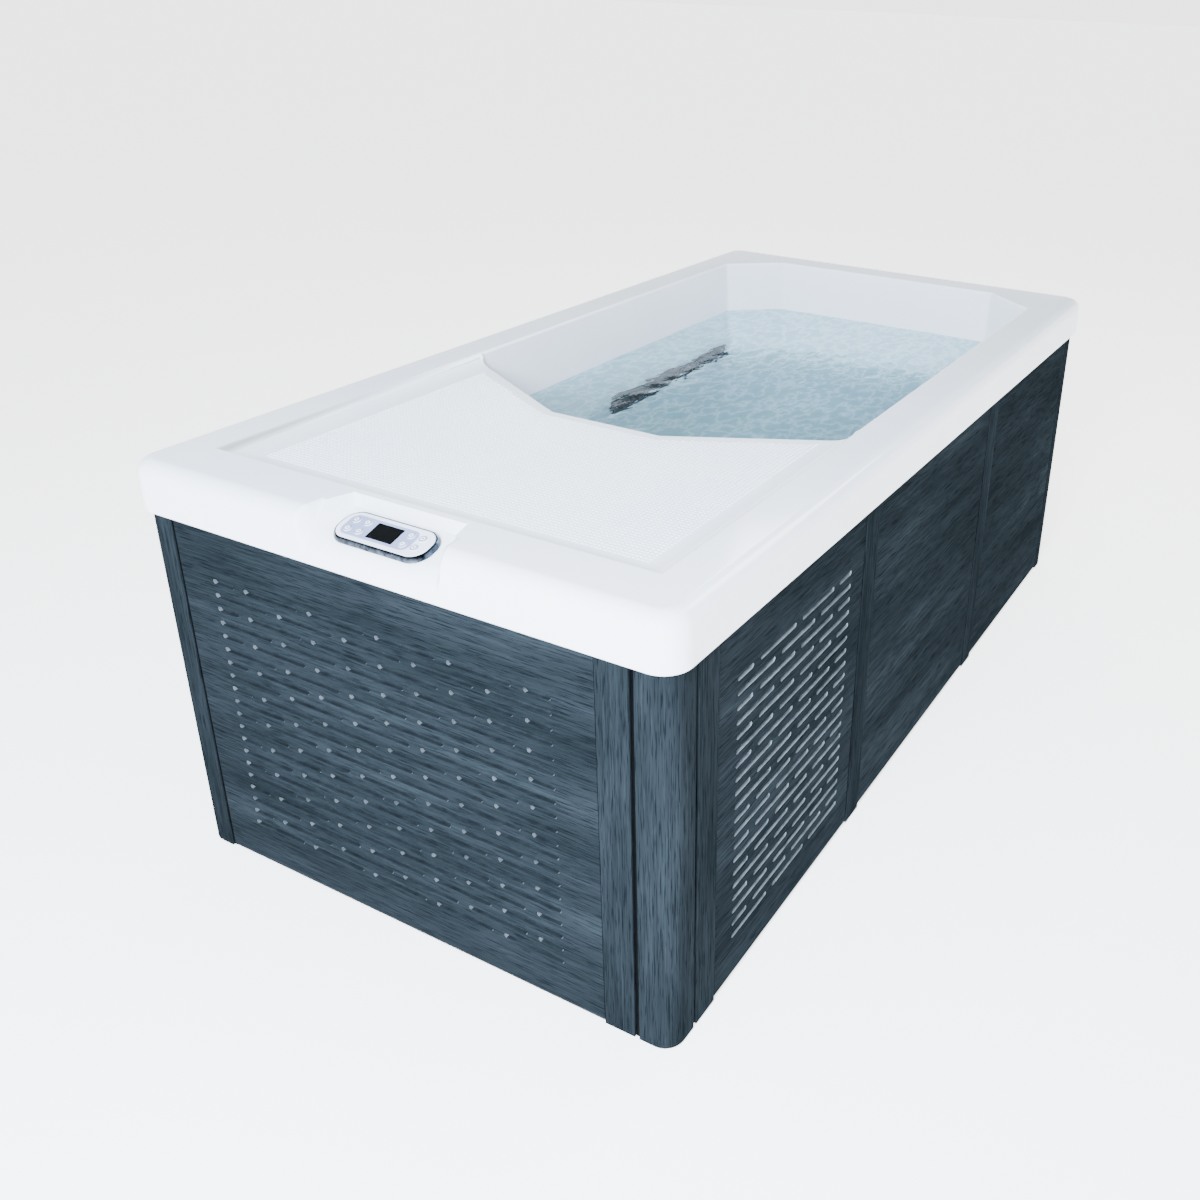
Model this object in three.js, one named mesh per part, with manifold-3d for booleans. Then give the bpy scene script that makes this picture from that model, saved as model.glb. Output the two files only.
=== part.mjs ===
// A cold plunge tub for a spa or treatment room. A one-piece acrylic shell with an octagonal well and a
// walk-on deck sits on a welded steel frame, inside a wood-grain skirt of panels, stiles and corner posts.
// The chiller, pump and filter stand on the base pan in the bay under the deck, behind the slotted panels.
// Millimetres, +Z up, origin on the floor under the middle of the tub. The control end faces -Y.
import * as THREE from "three";
import { mergeVertices } from "three/addons/utils/BufferGeometryUtils.js";
import Module from "manifold-3d";

const wasm = await Module();
wasm.setup();

// Overall size
const LENGTH = 2000;
const WIDTH = 1040;
const HEIGHT = 760;
const CLEARANCE = 0.3;

// Acrylic shell
const SHELL_WALL = 8;
const APRON_HEIGHT = 88;
const RIM_CORNER_RADIUS = 45;
const RIM_EDGE_FILLET = 26;
const RIM_SIDE = 93;
const RIM_FRONT = 111;
const RIM_REAR = 99;
const DECK_DEPTH = 20;
const DECK_COVE = 42;
const DECK_LENGTH = 485;
const WELL_FLOOR_HEIGHT = 120;
const WELL_DRAFT = 25;
const WELL_FLOOR_COVE = 60;
const FRONT_CHAMFER_ACROSS = 309;
const FRONT_CHAMFER_ALONG = 165;
const REAR_CHAMFER_ACROSS = 125;
const REAR_CHAMFER_ALONG = 106;
const FILLET_STEPS = 4;
const CORNER_STEPS = 5;

// Skirt of panels, stiles and corner posts
const SKIRT_INSET = 12;
const PANEL_THICKNESS = 6;
const POST_WIDTH = 61;
const POST_LIP = 2;
const GROOVE = 8;
const STILE_WIDTH = 55;
const SKIRT_TUCK = 30;
const POST_FLOOR_GAP = 3;
const PANEL_FLOOR_GAP = 12;
const FIRST_SEAM = 628;
const SECOND_SEAM = 1298;

// Vent slots, in rows that shift by half a pitch like brickwork
const SLOT_LENGTH = 118;
const SLOT_GAP = 21.5;
const SLOT_HEIGHT = 8.5;
const SLOT_END_STEPS = 2;
const ROW_PITCH = 25.4;
const VENT_BOTTOM = 92;
const VENT_TOP_DROP = 95;
const VENT_MARGIN = 48;

// Base pan, welded frame and the cradle under the well
const PAN_THICKNESS = 12;
const FRAME_TUBE = 30;
const UPRIGHT_TUBE = 27;
const NOTCH_BRIDGE_DROP = 60;
const CRADLE_SIDE_MARGIN = 130;
const CRADLE_END_MARGIN = 120;

// Control notch in the front rim, and the control panel on its sloping floor
const NOTCH_FRONT_DROP = 44;
const NOTCH_DEPTH = 86;
const NOTCH_TILT = THREE.MathUtils.degToRad(17);
const NOTCH_FRONT_HALF = 130;
const NOTCH_REAR_HALF = 102;
const NOTCH_FLARE = 14;
const BEZEL_WIDTH = 182;
const BEZEL_DEPTH = 68;
const BEZEL_HEIGHT = 10;
const BEZEL_WALL = 5.5;
const BEZEL_RADIUS = 30;
const BEZEL_CROWN = 3;
const HOUSING_WIDTH = 150;
const HOUSING_DEPTH = 46;
const HOUSING_DROP = 20;
const FACE_SEAT = 6.7;
const FACE_THICKNESS = 2.4;
const DISPLAY_WIDTH = 50;
const DISPLAY_DEPTH = 33;
const DISPLAY_THICKNESS = 2.2;
const BUTTON_RADIUS = 6.5;
const BUTTON_FLANGE = 8;
const BUTTON_FLANGE_HEIGHT = 1.6;
const BUTTON_PROUD = 1;
const BUTTON_POCKET_DEPTH = 4;
const BUTTON_FIT = 0.4;
const BUTTON_COLUMNS = [42, 64];
const BUTTON_ROW_OFFSET = 10;
const BUTTON_SIDES = 12;

// Water fittings in the well
const GRILLE_LENGTH = 560;
const GRILLE_HEIGHT = 85;
const GRILLE_THICKNESS = 10;
const GRILLE_BORDER = 16;
const GRILLE_SLOTS = 20;
const GRILLE_BAR = 9;
const GRILLE_MIDDLE_HEIGHT = 310;
const GRILLE_REAR_MARGIN = 150;
const SUCTION_BOX_DEPTH = 44;
const SUCTION_BOX_WALL = 4;
const RETURN_HEIGHT = 360;
const RETURN_OFFSET = -40;
const RETURN_FLANGE_RADIUS = 36;
const RETURN_FLANGE_THICKNESS = 8;
const RETURN_TAIL = 30;
const NOZZLE_LIP = 4;
const DRAIN_FLANGE_RADIUS = 45;
const DRAIN_FLANGE_THICKNESS = 5;
const DRAIN_TAIL_RADIUS = 25;
const DRAIN_INSET = 220;
const DRAIN_PIPE_HEIGHT = 40;
const DRAIN_PIPE_RADIUS = 16;
const DRAIN_CHANNEL = 90;
const PIPE_RADIUS = 20;
const PIPE_BEND = 55;
const PIPE_STEP = 45;
const PIPE_SIDES = 8;

// Chiller
const COIL_THICKNESS = 40;
const COIL_WIDTH = 400;
const COIL_HEIGHT = 540;
const COIL_FINS = 24;
const FIN_DEPTH = 12;
const FIN_SHARE = 0.4;
const COIL_FRAME_GAP = 16;
const SHROUD_DEPTH = 60;
const DUCT_RADIUS = 165;
const FAN_RADIUS = 154;
const FAN_HEIGHT = 290;
const FAN_BLADES = 5;
const FAN_HUB_RADIUS = 42;
const FAN_HUB_LENGTH = 34;
const BLADE_ROOT_CHORD = 66;
const BLADE_TIP_CHORD = 104;
const BLADE_THICKNESS = 3;
const BLADE_PITCH = THREE.MathUtils.degToRad(22);
const FAN_RUNNING_GAP = 5;
const MOTOR_ARM = 20;
const MOTOR_ARM_THICKNESS = 8;
const MOTOR_RADIUS = 46;
const MOTOR_LENGTH = 62;
const SHAFT_RADIUS = 6;
const SHAFT_ENGAGEMENT = 16;
const COMPRESSOR_RADIUS = 75;
const COMPRESSOR_HEIGHT = 250;
const COMPRESSOR_FOOT = 170;
const COMPRESSOR_FOOT_THICKNESS = 6;
const COMPRESSOR_FROM_FRONT = 228;
const COMPRESSOR_X = 150;
const EXCHANGER_RADIUS = 70;
const EXCHANGER_HEIGHT = 420;
const EXCHANGER_FROM_FRONT = 448;
const EXCHANGER_PORT_LOW = 130;
const PORT_LENGTH = 30;
const SUCTION_LINE_HEIGHT = 192;
const LIQUID_LINE_HEIGHT = 72;
const LINE_RADIUS = 7;
const LINE_BEND = 24;
const LINE_STEP = 32;
const LINE_SIDES = 6;

// Pump, filter, control box, drain valve and power gland
const PUMP_X = -330;
const PUMP_FROM_FRONT = 488;
const PUMP_MOTOR_RADIUS = 62;
const PUMP_MOTOR_LENGTH = 150;
const PUMP_VOLUTE_RADIUS = 78;
const PUMP_VOLUTE_LENGTH = 70;
const PUMP_AXIS_HEIGHT = 120;
const FILTER_FROM_FRONT = 200;
const FILTER_RADIUS = 78;
const FILTER_WALL = 5;
const FILTER_HEIGHT = 330;
const FILTER_CAP_HEIGHT = 44;
const FILTER_PORT_DROP = 45;
const CARTRIDGE_RADIUS = 58;
const CARTRIDGE_PLEAT = 9;
const CARTRIDGE_PLEATS = 24;
const CARTRIDGE_HEIGHT = 225;
const CONTROL_BOX = new THREE.Vector3(210, 90, 300);
const CONTROL_BOX_X = -110;
const CONTROL_BOX_FROM_FRONT = 95;
const CONTROL_BOX_RADIUS = 12;
const VALVE_RADIUS = 24;
const VALVE_LENGTH = 60;
const VALVE_STEM_RADIUS = 7;
const VALVE_STEM_HEIGHT = 16;
const LEVER_LENGTH = 95;
const LEVER_WIDTH = 20;
const LEVER_THICKNESS = 6;
const GLAND_RADIUS = 14;
const GLAND_BARREL_RADIUS = 10;
const GLAND_PROUD = 9;
const GLAND_TAIL = 20;
const GLAND_HEIGHT = 70;
const GLAND_FROM_FRONT = 300;
const ROUND_SIDES = 16;

// Places worked out from the sizes above
const skirtX = WIDTH / 2 - SKIRT_INSET;
const skirtY = LENGTH / 2 - SKIRT_INSET;
const backX = skirtX - PANEL_THICKNESS - CLEARANCE;
const backY = skirtY - PANEL_THICKNESS - CLEARANCE;
const apronBottom = HEIGHT - APRON_HEIGHT;
const rimUnderside = HEIGHT - SHELL_WALL;
const skirtTop = apronBottom + SKIRT_TUCK;
const wellHalf = WIDTH / 2 - RIM_SIDE;
const wellRear = LENGTH / 2 - RIM_REAR;
const deckFront = RIM_FRONT - LENGTH / 2;
const wellFront = deckFront + DECK_LENGTH;
const deckLevel = HEIGHT - DECK_DEPTH;
const draftAngle = Math.atan2(WELL_DRAFT, HEIGHT - WELL_FLOOR_HEIGHT);
const panTop = PAN_THICKNESS + CLEARANCE;
const postRadius = RIM_CORNER_RADIUS - SKIRT_INSET;
const postInnerRadius = postRadius - PANEL_THICKNESS;
const drainY = wellFront + DRAIN_INSET;
const drainPipeZ = panTop + DRAIN_PIPE_HEIGHT;

const acrylic = { color: 0xf1f3f5, roughness: 0.16, metalness: 0 };
const woodgrain = { color: 0x3a4d57, roughness: 0.55, metalness: 0 };
const chrome = { color: 0xc9ccd0, roughness: 0.08, metalness: 1 };
const whitePlastic = { color: 0xe9ebf0, roughness: 0.35, metalness: 0 };
const buttonGrey = { color: 0xb4b9c9, roughness: 0.4, metalness: 0 };
const blackGlass = { color: 0x060708, roughness: 0.08, metalness: 0 };
const slatePlastic = { color: 0x39444a, roughness: 0.5, metalness: 0 };
const panPlastic = { color: 0x1d2022, roughness: 0.6, metalness: 0 };
const galvanised = { color: 0x9aa1a6, roughness: 0.45, metalness: 0.9 };
const foam = { color: 0xd9d4c4, roughness: 0.9, metalness: 0 };
const blackPaint = { color: 0x15171a, roughness: 0.4, metalness: 0.2 };
const fins = { color: 0xb9bec2, roughness: 0.4, metalness: 0.9 };
const pvc = { color: 0xe4e6e6, roughness: 0.4, metalness: 0 };
const copper = { color: 0xb06a42, roughness: 0.3, metalness: 1 };
const valveRed = { color: 0xa3241f, roughness: 0.45, metalness: 0 };

const tub = new THREE.Group();

function vector(x, y, z) {
  return new THREE.Vector3(x, y, z);
}

function add(name, geometry, finish, parent = tub) {
  const mesh = new THREE.Mesh(geometry, new THREE.MeshStandardMaterial(finish));
  mesh.name = name;
  parent.add(mesh);
  return mesh;
}

// Boolean work: a geometry becomes a solid, and the result comes back as a geometry
function solidOf(geometry) {
  const bare = geometry.clone();
  bare.deleteAttribute("normal");
  bare.deleteAttribute("uv");
  const merged = mergeVertices(bare, 1e-4);
  const corners = merged.index.array;
  const kept = [];
  for (let i = 0; i < corners.length; i += 3) {
    const [a, b, c] = corners.slice(i, i + 3);
    if (a !== b && b !== c && c !== a) {
      kept.push(a, b, c);
    }
  }
  return new wasm.Manifold(new wasm.Mesh({
    numProp: 3,
    vertProperties: new Float32Array(merged.attributes.position.array),
    triVerts: new Uint32Array(kept),
  }));
}

function geometryOf(solid) {
  const mesh = solid.getMesh();
  const geometry = new THREE.BufferGeometry();
  geometry.setAttribute("position", new THREE.BufferAttribute(new Float32Array(mesh.vertProperties), 3));
  geometry.setIndex(new THREE.BufferAttribute(new Uint32Array(mesh.triVerts), 1));
  return geometry;
}

function join(...geometries) {
  return geometryOf(geometries.map(solidOf).reduce((whole, piece) => whole.add(piece)));
}

function cut(geometry, ...tools) {
  return geometryOf(tools.map(solidOf).reduce((rest, tool) => rest.subtract(tool), solidOf(geometry)));
}

// Basic forms
function block(x0, x1, y0, y1, z0, z1) {
  const geometry = new THREE.BoxGeometry(x1 - x0, y1 - y0, z1 - z0);
  return geometry.translate((x0 + x1) / 2, (y0 + y1) / 2, (z0 + z1) / 2);
}

function rod(start, end, radius, sides = ROUND_SIDES) {
  const along = end.clone().sub(start);
  const geometry = new THREE.CylinderGeometry(radius, radius, along.length(), sides);
  const turn = new THREE.Quaternion().setFromUnitVectors(vector(0, 1, 0), along.clone().normalize());
  geometry.applyQuaternion(turn);
  const middle = start.clone().add(end).multiplyScalar(0.5);
  return geometry.translate(middle.x, middle.y, middle.z);
}

function prism(shape, bottom, top, curveSegments = CORNER_STEPS) {
  const options = { depth: top - bottom, bevelEnabled: false, curveSegments };
  return new THREE.ExtrudeGeometry(shape, options).translate(0, 0, bottom);
}

// A profile of [radius, height] pairs, turned about the Z axis
function turned(profile, sides = ROUND_SIDES) {
  const points = profile.map(([radius, height]) => new THREE.Vector2(radius, height));
  return new THREE.LatheGeometry(points, sides).rotateX(Math.PI / 2);
}

function roundedRectangle(width, depth, radius) {
  const x = width / 2;
  const y = depth / 2;
  const shape = new THREE.Shape();
  shape.moveTo(-x + radius, -y);
  shape.absarc(x - radius, -y + radius, radius, -Math.PI / 2, 0);
  shape.absarc(x - radius, y - radius, radius, 0, Math.PI / 2);
  shape.absarc(-x + radius, y - radius, radius, Math.PI / 2, Math.PI);
  shape.absarc(-x + radius, -y + radius, radius, Math.PI, Math.PI * 1.5);
  return shape;
}

function rectangleHole(middle, width, height) {
  const x = width / 2;
  const y = height / 2;
  const corners = [[-x, -y], [x, -y], [x, y], [-x, y]];
  return new THREE.Path(corners.map(([across, up]) => new THREE.Vector2(middle + across, up)));
}

// One level ring of a rounded rectangle, with the same number of points whatever its size
function rectangleRing(width, depth, radius, height) {
  const ring = [];
  for (let corner = 0; corner < 4; corner += 1) {
    const sideX = corner === 0 || corner === 1 ? 1 : -1;
    const sideY = corner === 1 || corner === 2 ? 1 : -1;
    for (let step = 0; step <= CORNER_STEPS; step += 1) {
      const angle = (corner - 1 + step / CORNER_STEPS) * Math.PI / 2;
      const x = sideX * (width / 2 - radius) + radius * Math.cos(angle);
      const y = sideY * (depth / 2 - radius) + radius * Math.sin(angle);
      ring.push(vector(x, y, height));
    }
  }
  return ring;
}

// A solid skinned over level rings that run anticlockwise, from the lowest ring to the highest
function loft(rings) {
  const count = rings[0].length;
  const last = (rings.length - 1) * count;
  const indices = [];
  for (let base = 0; base < last; base += count) {
    for (let i = 0; i < count; i += 1) {
      const a = base + i;
      const b = base + (i + 1) % count;
      indices.push(a, b, b + count, a, b + count, a + count);
    }
  }
  const flat = (ring) => ring.map((point) => new THREE.Vector2(point.x, point.y));
  for (const [a, b, c] of THREE.ShapeUtils.triangulateShape(flat(rings[0]), [])) {
    indices.push(a, c, b);
  }
  for (const [a, b, c] of THREE.ShapeUtils.triangulateShape(flat(rings.at(-1)), [])) {
    indices.push(last + a, last + b, last + c);
  }
  const geometry = new THREE.BufferGeometry().setFromPoints(rings.flat());
  geometry.setIndex(indices);
  return geometry;
}

// A round pipe through the given corners, with an easy bend at each
function pipe(corners, radius, bend, step, sides) {
  const path = new THREE.CurvePath();
  const towards = (from, to) => from.clone().add(to.clone().sub(from).setLength(bend));
  let start = corners[0];
  for (let i = 1; i + 1 < corners.length; i += 1) {
    const enter = towards(corners[i], corners[i - 1]);
    const leave = towards(corners[i], corners[i + 1]);
    path.add(new THREE.LineCurve3(start, enter));
    path.add(new THREE.QuadraticBezierCurve3(enter, corners[i], leave));
    start = leave;
  }
  path.add(new THREE.LineCurve3(start, corners.at(-1)));
  const section = new THREE.Shape(circlePoints(0, 0, radius, sides));
  const steps = Math.max(2, Math.ceil(path.getLength() / step));
  return new THREE.ExtrudeGeometry(section, { steps, extrudePath: path });
}

function waterPipe(...corners) {
  return pipe(corners, PIPE_RADIUS, PIPE_BEND, PIPE_STEP, PIPE_SIDES);
}

function refrigerantLine(...corners) {
  return pipe(corners, LINE_RADIUS, LINE_BEND, LINE_STEP, LINE_SIDES);
}

function circlePoints(x, y, radius, sides) {
  const points = [];
  for (let i = 0; i < sides; i += 1) {
    const angle = i / sides * Math.PI * 2;
    points.push(new THREE.Vector2(x + radius * Math.cos(angle), y + radius * Math.sin(angle)));
  }
  return points;
}

// Well outline: a rectangle with long chamfers at the deck end and short ones at the far end
function wellOutline(inset) {
  const frontHalf = wellHalf - FRONT_CHAMFER_ACROSS;
  const rearHalf = wellHalf - REAR_CHAMFER_ACROSS;
  const frontSide = wellFront + FRONT_CHAMFER_ALONG;
  const rearSide = wellRear - REAR_CHAMFER_ALONG;
  const corners = [
    new THREE.Vector2(-frontHalf, wellFront),
    new THREE.Vector2(frontHalf, wellFront),
    new THREE.Vector2(wellHalf, frontSide),
    new THREE.Vector2(wellHalf, rearSide),
    new THREE.Vector2(rearHalf, wellRear),
    new THREE.Vector2(-rearHalf, wellRear),
    new THREE.Vector2(-wellHalf, rearSide),
    new THREE.Vector2(-wellHalf, frontSide),
  ];
  const count = corners.length;
  const inward = corners.map((corner, i) => {
    const edge = corners[(i + 1) % count].clone().sub(corner).normalize();
    return new THREE.Vector2(-edge.y, edge.x);
  });
  return corners.map((corner, i) => {
    const before = inward[(i + count - 1) % count];
    const after = inward[i];
    const shift = before.clone().add(after).multiplyScalar(inset / (1 + before.dot(after)));
    return corner.clone().add(shift);
  });
}

function wellInset(height) {
  return (HEIGHT - height) * Math.tan(draftAngle);
}

// The well as a solid: drafted walls, a coved floor, and a skin of the given thickness outside it
function wellSolid(skin, top) {
  const floor = WELL_FLOOR_HEIGHT - skin;
  const cove = WELL_FLOOR_COVE + skin;
  const rings = [];
  for (let step = 0; step <= FILLET_STEPS; step += 1) {
    const angle = step / FILLET_STEPS * Math.PI / 2;
    const height = floor + cove * (1 - Math.cos(angle));
    const inset = wellInset(floor + cove) - skin + cove * (1 - Math.sin(angle));
    rings.push(wellOutline(inset).map((point) => vector(point.x, point.y, height)));
  }
  rings.push(wellOutline(wellInset(top) - skin).map((point) => vector(point.x, point.y, top)));
  return loft(rings);
}

function rimBlank() {
  const rings = [rectangleRing(WIDTH, LENGTH, RIM_CORNER_RADIUS, apronBottom)];
  for (let step = 0; step <= FILLET_STEPS; step += 1) {
    const angle = step / FILLET_STEPS * Math.PI / 2;
    const inset = RIM_EDGE_FILLET * (1 - Math.cos(angle));
    const height = HEIGHT - RIM_EDGE_FILLET * (1 - Math.sin(angle));
    rings.push(rectangleRing(WIDTH - 2 * inset, LENGTH - 2 * inset, RIM_CORNER_RADIUS - inset, height));
  }
  return loft(rings);
}

// The hollow under the rim, with an inside fillet that clears the top of the frame
function rimHollow() {
  const rings = [];
  const inner = SKIRT_INSET + PANEL_THICKNESS - SHELL_WALL;
  const corner = RIM_CORNER_RADIUS - SHELL_WALL;
  const width = WIDTH - 2 * SHELL_WALL;
  const length = LENGTH - 2 * SHELL_WALL;
  rings.push(rectangleRing(width, length, corner, apronBottom - 1));
  for (let step = 0; step <= FILLET_STEPS; step += 1) {
    const angle = step / FILLET_STEPS * Math.PI / 2;
    const inset = inner * (1 - Math.cos(angle));
    const height = rimUnderside - inner * (1 - Math.sin(angle));
    rings.push(rectangleRing(width - 2 * inset, length - 2 * inset, corner - inset, height));
  }
  return loft(rings);
}

// The deck sits a little below the rim, with a coved edge on the two sides and the front
function deckRecess() {
  const rear = wellFront + FRONT_CHAMFER_ALONG + SHELL_WALL;
  const rings = [];
  for (let step = 0; step <= FILLET_STEPS; step += 1) {
    const angle = step / FILLET_STEPS * Math.PI / 2;
    const inset = DECK_COVE * (1 - Math.sin(angle));
    const height = deckLevel + DECK_DEPTH * (1 - Math.cos(angle));
    rings.push(deckRing(wellHalf - inset, deckFront + inset, rear, height));
  }
  rings.push(deckRing(wellHalf, deckFront, rear, HEIGHT + 1));
  return loft(rings);
}

function deckRing(half, front, rear, height) {
  return [vector(-half, front, height), vector(half, front, height),
    vector(half, rear, height), vector(-half, rear, height)];
}

function deckUnderside() {
  const half = wellHalf + SHELL_WALL;
  const rear = wellFront + FRONT_CHAMFER_ALONG + SHELL_WALL;
  const front = deckFront - SHELL_WALL;
  return block(-half, half, front, rear, deckLevel - SHELL_WALL, rimUnderside + SHELL_WALL / 2);
}

// The notch is open at the front and its floor falls towards the user
const notchFrontZ = HEIGHT - NOTCH_FRONT_DROP;
const notchFrontY = -LENGTH / 2;

function notchFloor(y) {
  return notchFrontZ + (y - notchFrontY) * Math.tan(NOTCH_TILT);
}

function notchSolid(skin, reach, top) {
  const front = notchFrontY - reach;
  const rear = notchFrontY + NOTCH_DEPTH + skin;
  const drop = skin / Math.cos(NOTCH_TILT);
  const frontHalf = NOTCH_FRONT_HALF + skin;
  const rearHalf = NOTCH_REAR_HALF + skin;
  const floor = [
    vector(-frontHalf, front, notchFloor(front) - drop),
    vector(frontHalf, front, notchFloor(front) - drop),
    vector(rearHalf, rear, notchFloor(rear) - drop),
    vector(-rearHalf, rear, notchFloor(rear) - drop),
  ];
  const mouth = floor.map((point, i) => vector(
    point.x + Math.sign(point.x) * NOTCH_FLARE, i > 1 ? rear + NOTCH_FLARE / 4 : front, top));
  return loft([floor, mouth]);
}

// The control panel's own frame: on the notch floor, with local +Z square to that floor
const control = new THREE.Group();
const controlReach = NOTCH_DEPTH / Math.cos(NOTCH_TILT) / 2;
control.position.set(0, notchFrontY + controlReach * Math.cos(NOTCH_TILT), 0);
control.position.z = notchFloor(control.position.y);
control.rotation.x = NOTCH_TILT;
control.updateMatrix();
tub.add(control);

function housingCutout() {
  const fit = 2 * CLEARANCE;
  const shape = roundedRectangle(HOUSING_WIDTH + fit, HOUSING_DEPTH + fit, SHELL_WALL);
  return prism(shape, -2 * SHELL_WALL, SHELL_WALL, 2).applyMatrix4(control.matrix);
}

// Frames on the drafted walls: local +X points into the well on the side wall
const grilleMiddleY = wellRear - GRILLE_REAR_MARGIN - GRILLE_LENGTH / 2;
const suctionWall = new THREE.Group();
suctionWall.position.set(wellInset(GRILLE_MIDDLE_HEIGHT) - wellHalf, grilleMiddleY, GRILLE_MIDDLE_HEIGHT);
suctionWall.rotation.y = -draftAngle;
suctionWall.updateMatrix();
tub.add(suctionWall);

const returnPoint = vector(RETURN_OFFSET, wellFront + wellInset(RETURN_HEIGHT), RETURN_HEIGHT);
const returnAxis = vector(0, Math.cos(draftAngle), Math.sin(draftAngle));

function alongReturn(distance) {
  return returnPoint.clone().addScaledVector(returnAxis, distance);
}

function suctionOpening() {
  const halfLength = GRILLE_LENGTH / 2 - GRILLE_BORDER;
  const halfHeight = GRILLE_HEIGHT / 2 - GRILLE_BORDER;
  const opening = block(-3 * SHELL_WALL, SHELL_WALL, -halfLength, halfLength, -halfHeight, halfHeight);
  return opening.applyMatrix4(suctionWall.matrix);
}

function makeShell() {
  const skin = join(cut(rimBlank(), rimHollow()), wellSolid(SHELL_WALL, rimUnderside + SHELL_WALL / 2),
    deckUnderside(), notchSolid(SHELL_WALL, -SHELL_WALL / 2, rimUnderside + SHELL_WALL / 2));
  const drainHole = rod(vector(0, drainY, 0), vector(0, drainY, WELL_FLOOR_HEIGHT + SHELL_WALL),
    DRAIN_TAIL_RADIUS + CLEARANCE);
  const returnHole = rod(alongReturn(-4 * SHELL_WALL), alongReturn(SHELL_WALL), PIPE_RADIUS + CLEARANCE);
  const shell = cut(skin, wellSolid(0, HEIGHT + 1), deckRecess(), notchSolid(0, SHELL_WALL, HEIGHT + 1),
    housingCutout(), suctionOpening(), drainHole, returnHole);
  add("tub_shell", shell, acrylic);
}

// Skirt: each face is drawn as seen from outside, then turned to its side of the tub
function slotHole(middle, height, length) {
  const radius = SLOT_HEIGHT / 2;
  const reach = length / 2 - radius;
  const points = [];
  for (const side of [1, -1]) {
    for (let step = 0; step <= SLOT_END_STEPS; step += 1) {
      const angle = (step / SLOT_END_STEPS - 0.5) * Math.PI;
      const across = reach + radius * Math.cos(angle);
      points.push(new THREE.Vector2(middle + side * across, height + side * radius * Math.sin(angle)));
    }
  }
  return new THREE.Path(points);
}

function slotRow(start, end, height, shifted) {
  const half = (SLOT_LENGTH - SLOT_GAP) / 2;
  const holes = [];
  let from = start;
  let length = shifted ? half : SLOT_LENGTH;
  while (from + half < end + 1) {
    const fitted = Math.min(length, end - from);
    holes.push(slotHole(from + fitted / 2, height, fitted));
    from += length + SLOT_GAP;
    length = SLOT_LENGTH;
  }
  return holes;
}

function ventHoles(from, to) {
  const pitch = SLOT_LENGTH + SLOT_GAP;
  const slots = Math.floor((to - from - 2 * VENT_MARGIN + SLOT_GAP) / pitch);
  const span = slots * pitch - SLOT_GAP;
  const start = (from + to - span) / 2;
  const rows = Math.floor((apronBottom - VENT_TOP_DROP - VENT_BOTTOM) / ROW_PITCH) + 1;
  const holes = [];
  for (let row = 0; row < rows; row += 1) {
    const fromTop = rows - 1 - row;
    holes.push(...slotRow(start, start + span, VENT_BOTTOM + row * ROW_PITCH, fromTop % 2 === 0));
  }
  return holes;
}

function glandHole() {
  const across = skirtY - GLAND_FROM_FRONT;
  return [new THREE.Path(circlePoints(across, GLAND_HEIGHT, GLAND_BARREL_RADIUS + CLEARANCE, ROUND_SIDES))];
}

function noHoles() {
  return [];
}

function board(from, to, bottom, holes) {
  const shape = new THREE.Shape([
    new THREE.Vector2(from, bottom), new THREE.Vector2(to, bottom),
    new THREE.Vector2(to, skirtTop), new THREE.Vector2(from, skirtTop)]);
  shape.holes = holes;
  return prism(shape, 0, PANEL_THICKNESS).rotateX(Math.PI / 2);
}

// A unit is one panel and the upright stile at one of its ends
function skirtUnit(face, reach, name, from, to, stileAtEnd, makeHoles) {
  const stileFrom = stileAtEnd ? to - STILE_WIDTH : from;
  const panelFrom = stileAtEnd ? from : from + STILE_WIDTH + CLEARANCE;
  const panelTo = stileAtEnd ? to - STILE_WIDTH - CLEARANCE : to;
  const holes = makeHoles(panelFrom, panelTo);
  const panel = add(`${name}_panel`, board(panelFrom, panelTo, PANEL_FLOOR_GAP, holes), woodgrain, face);
  const strip = board(stileFrom, stileFrom + STILE_WIDTH, POST_FLOOR_GAP, []);
  const stile = add(`${name}_stile`, strip, woodgrain, face);
  panel.position.y = PANEL_THICKNESS - reach;
  stile.position.y = PANEL_THICKNESS - reach;
}

function skirtFace(turn) {
  const face = new THREE.Group();
  face.rotation.z = turn;
  tub.add(face);
  return face;
}

const endLimit = skirtX - POST_WIDTH - GROOVE;
const sideLimit = skirtY - POST_WIDTH - GROOVE;
const seams = [FIRST_SEAM - skirtY, SECOND_SEAM - skirtY];

function makeSkirt() {
  skirtUnit(skirtFace(0), skirtY, "front", -endLimit, endLimit, true, ventHoles);
  skirtUnit(skirtFace(Math.PI), skirtY, "rear", -endLimit, endLimit, true, noHoles);
  const right = skirtFace(Math.PI / 2);
  const left = skirtFace(-Math.PI / 2);
  const starts = [-sideLimit, seams[0] + GROOVE / 2, seams[1] + GROOVE / 2];
  const ends = [seams[0] - GROOVE / 2, seams[1] - GROOVE / 2, sideLimit];
  ["front", "middle", "rear"].forEach((place, i) => {
    skirtUnit(right, skirtX, `right_${place}`, starts[i], ends[i], false, i === 0 ? ventHoles : noHoles);
    skirtUnit(left, skirtX, `left_${place}`, -ends[i], -starts[i], true, i === 0 ? glandHole : noHoles);
  });
}

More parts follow.
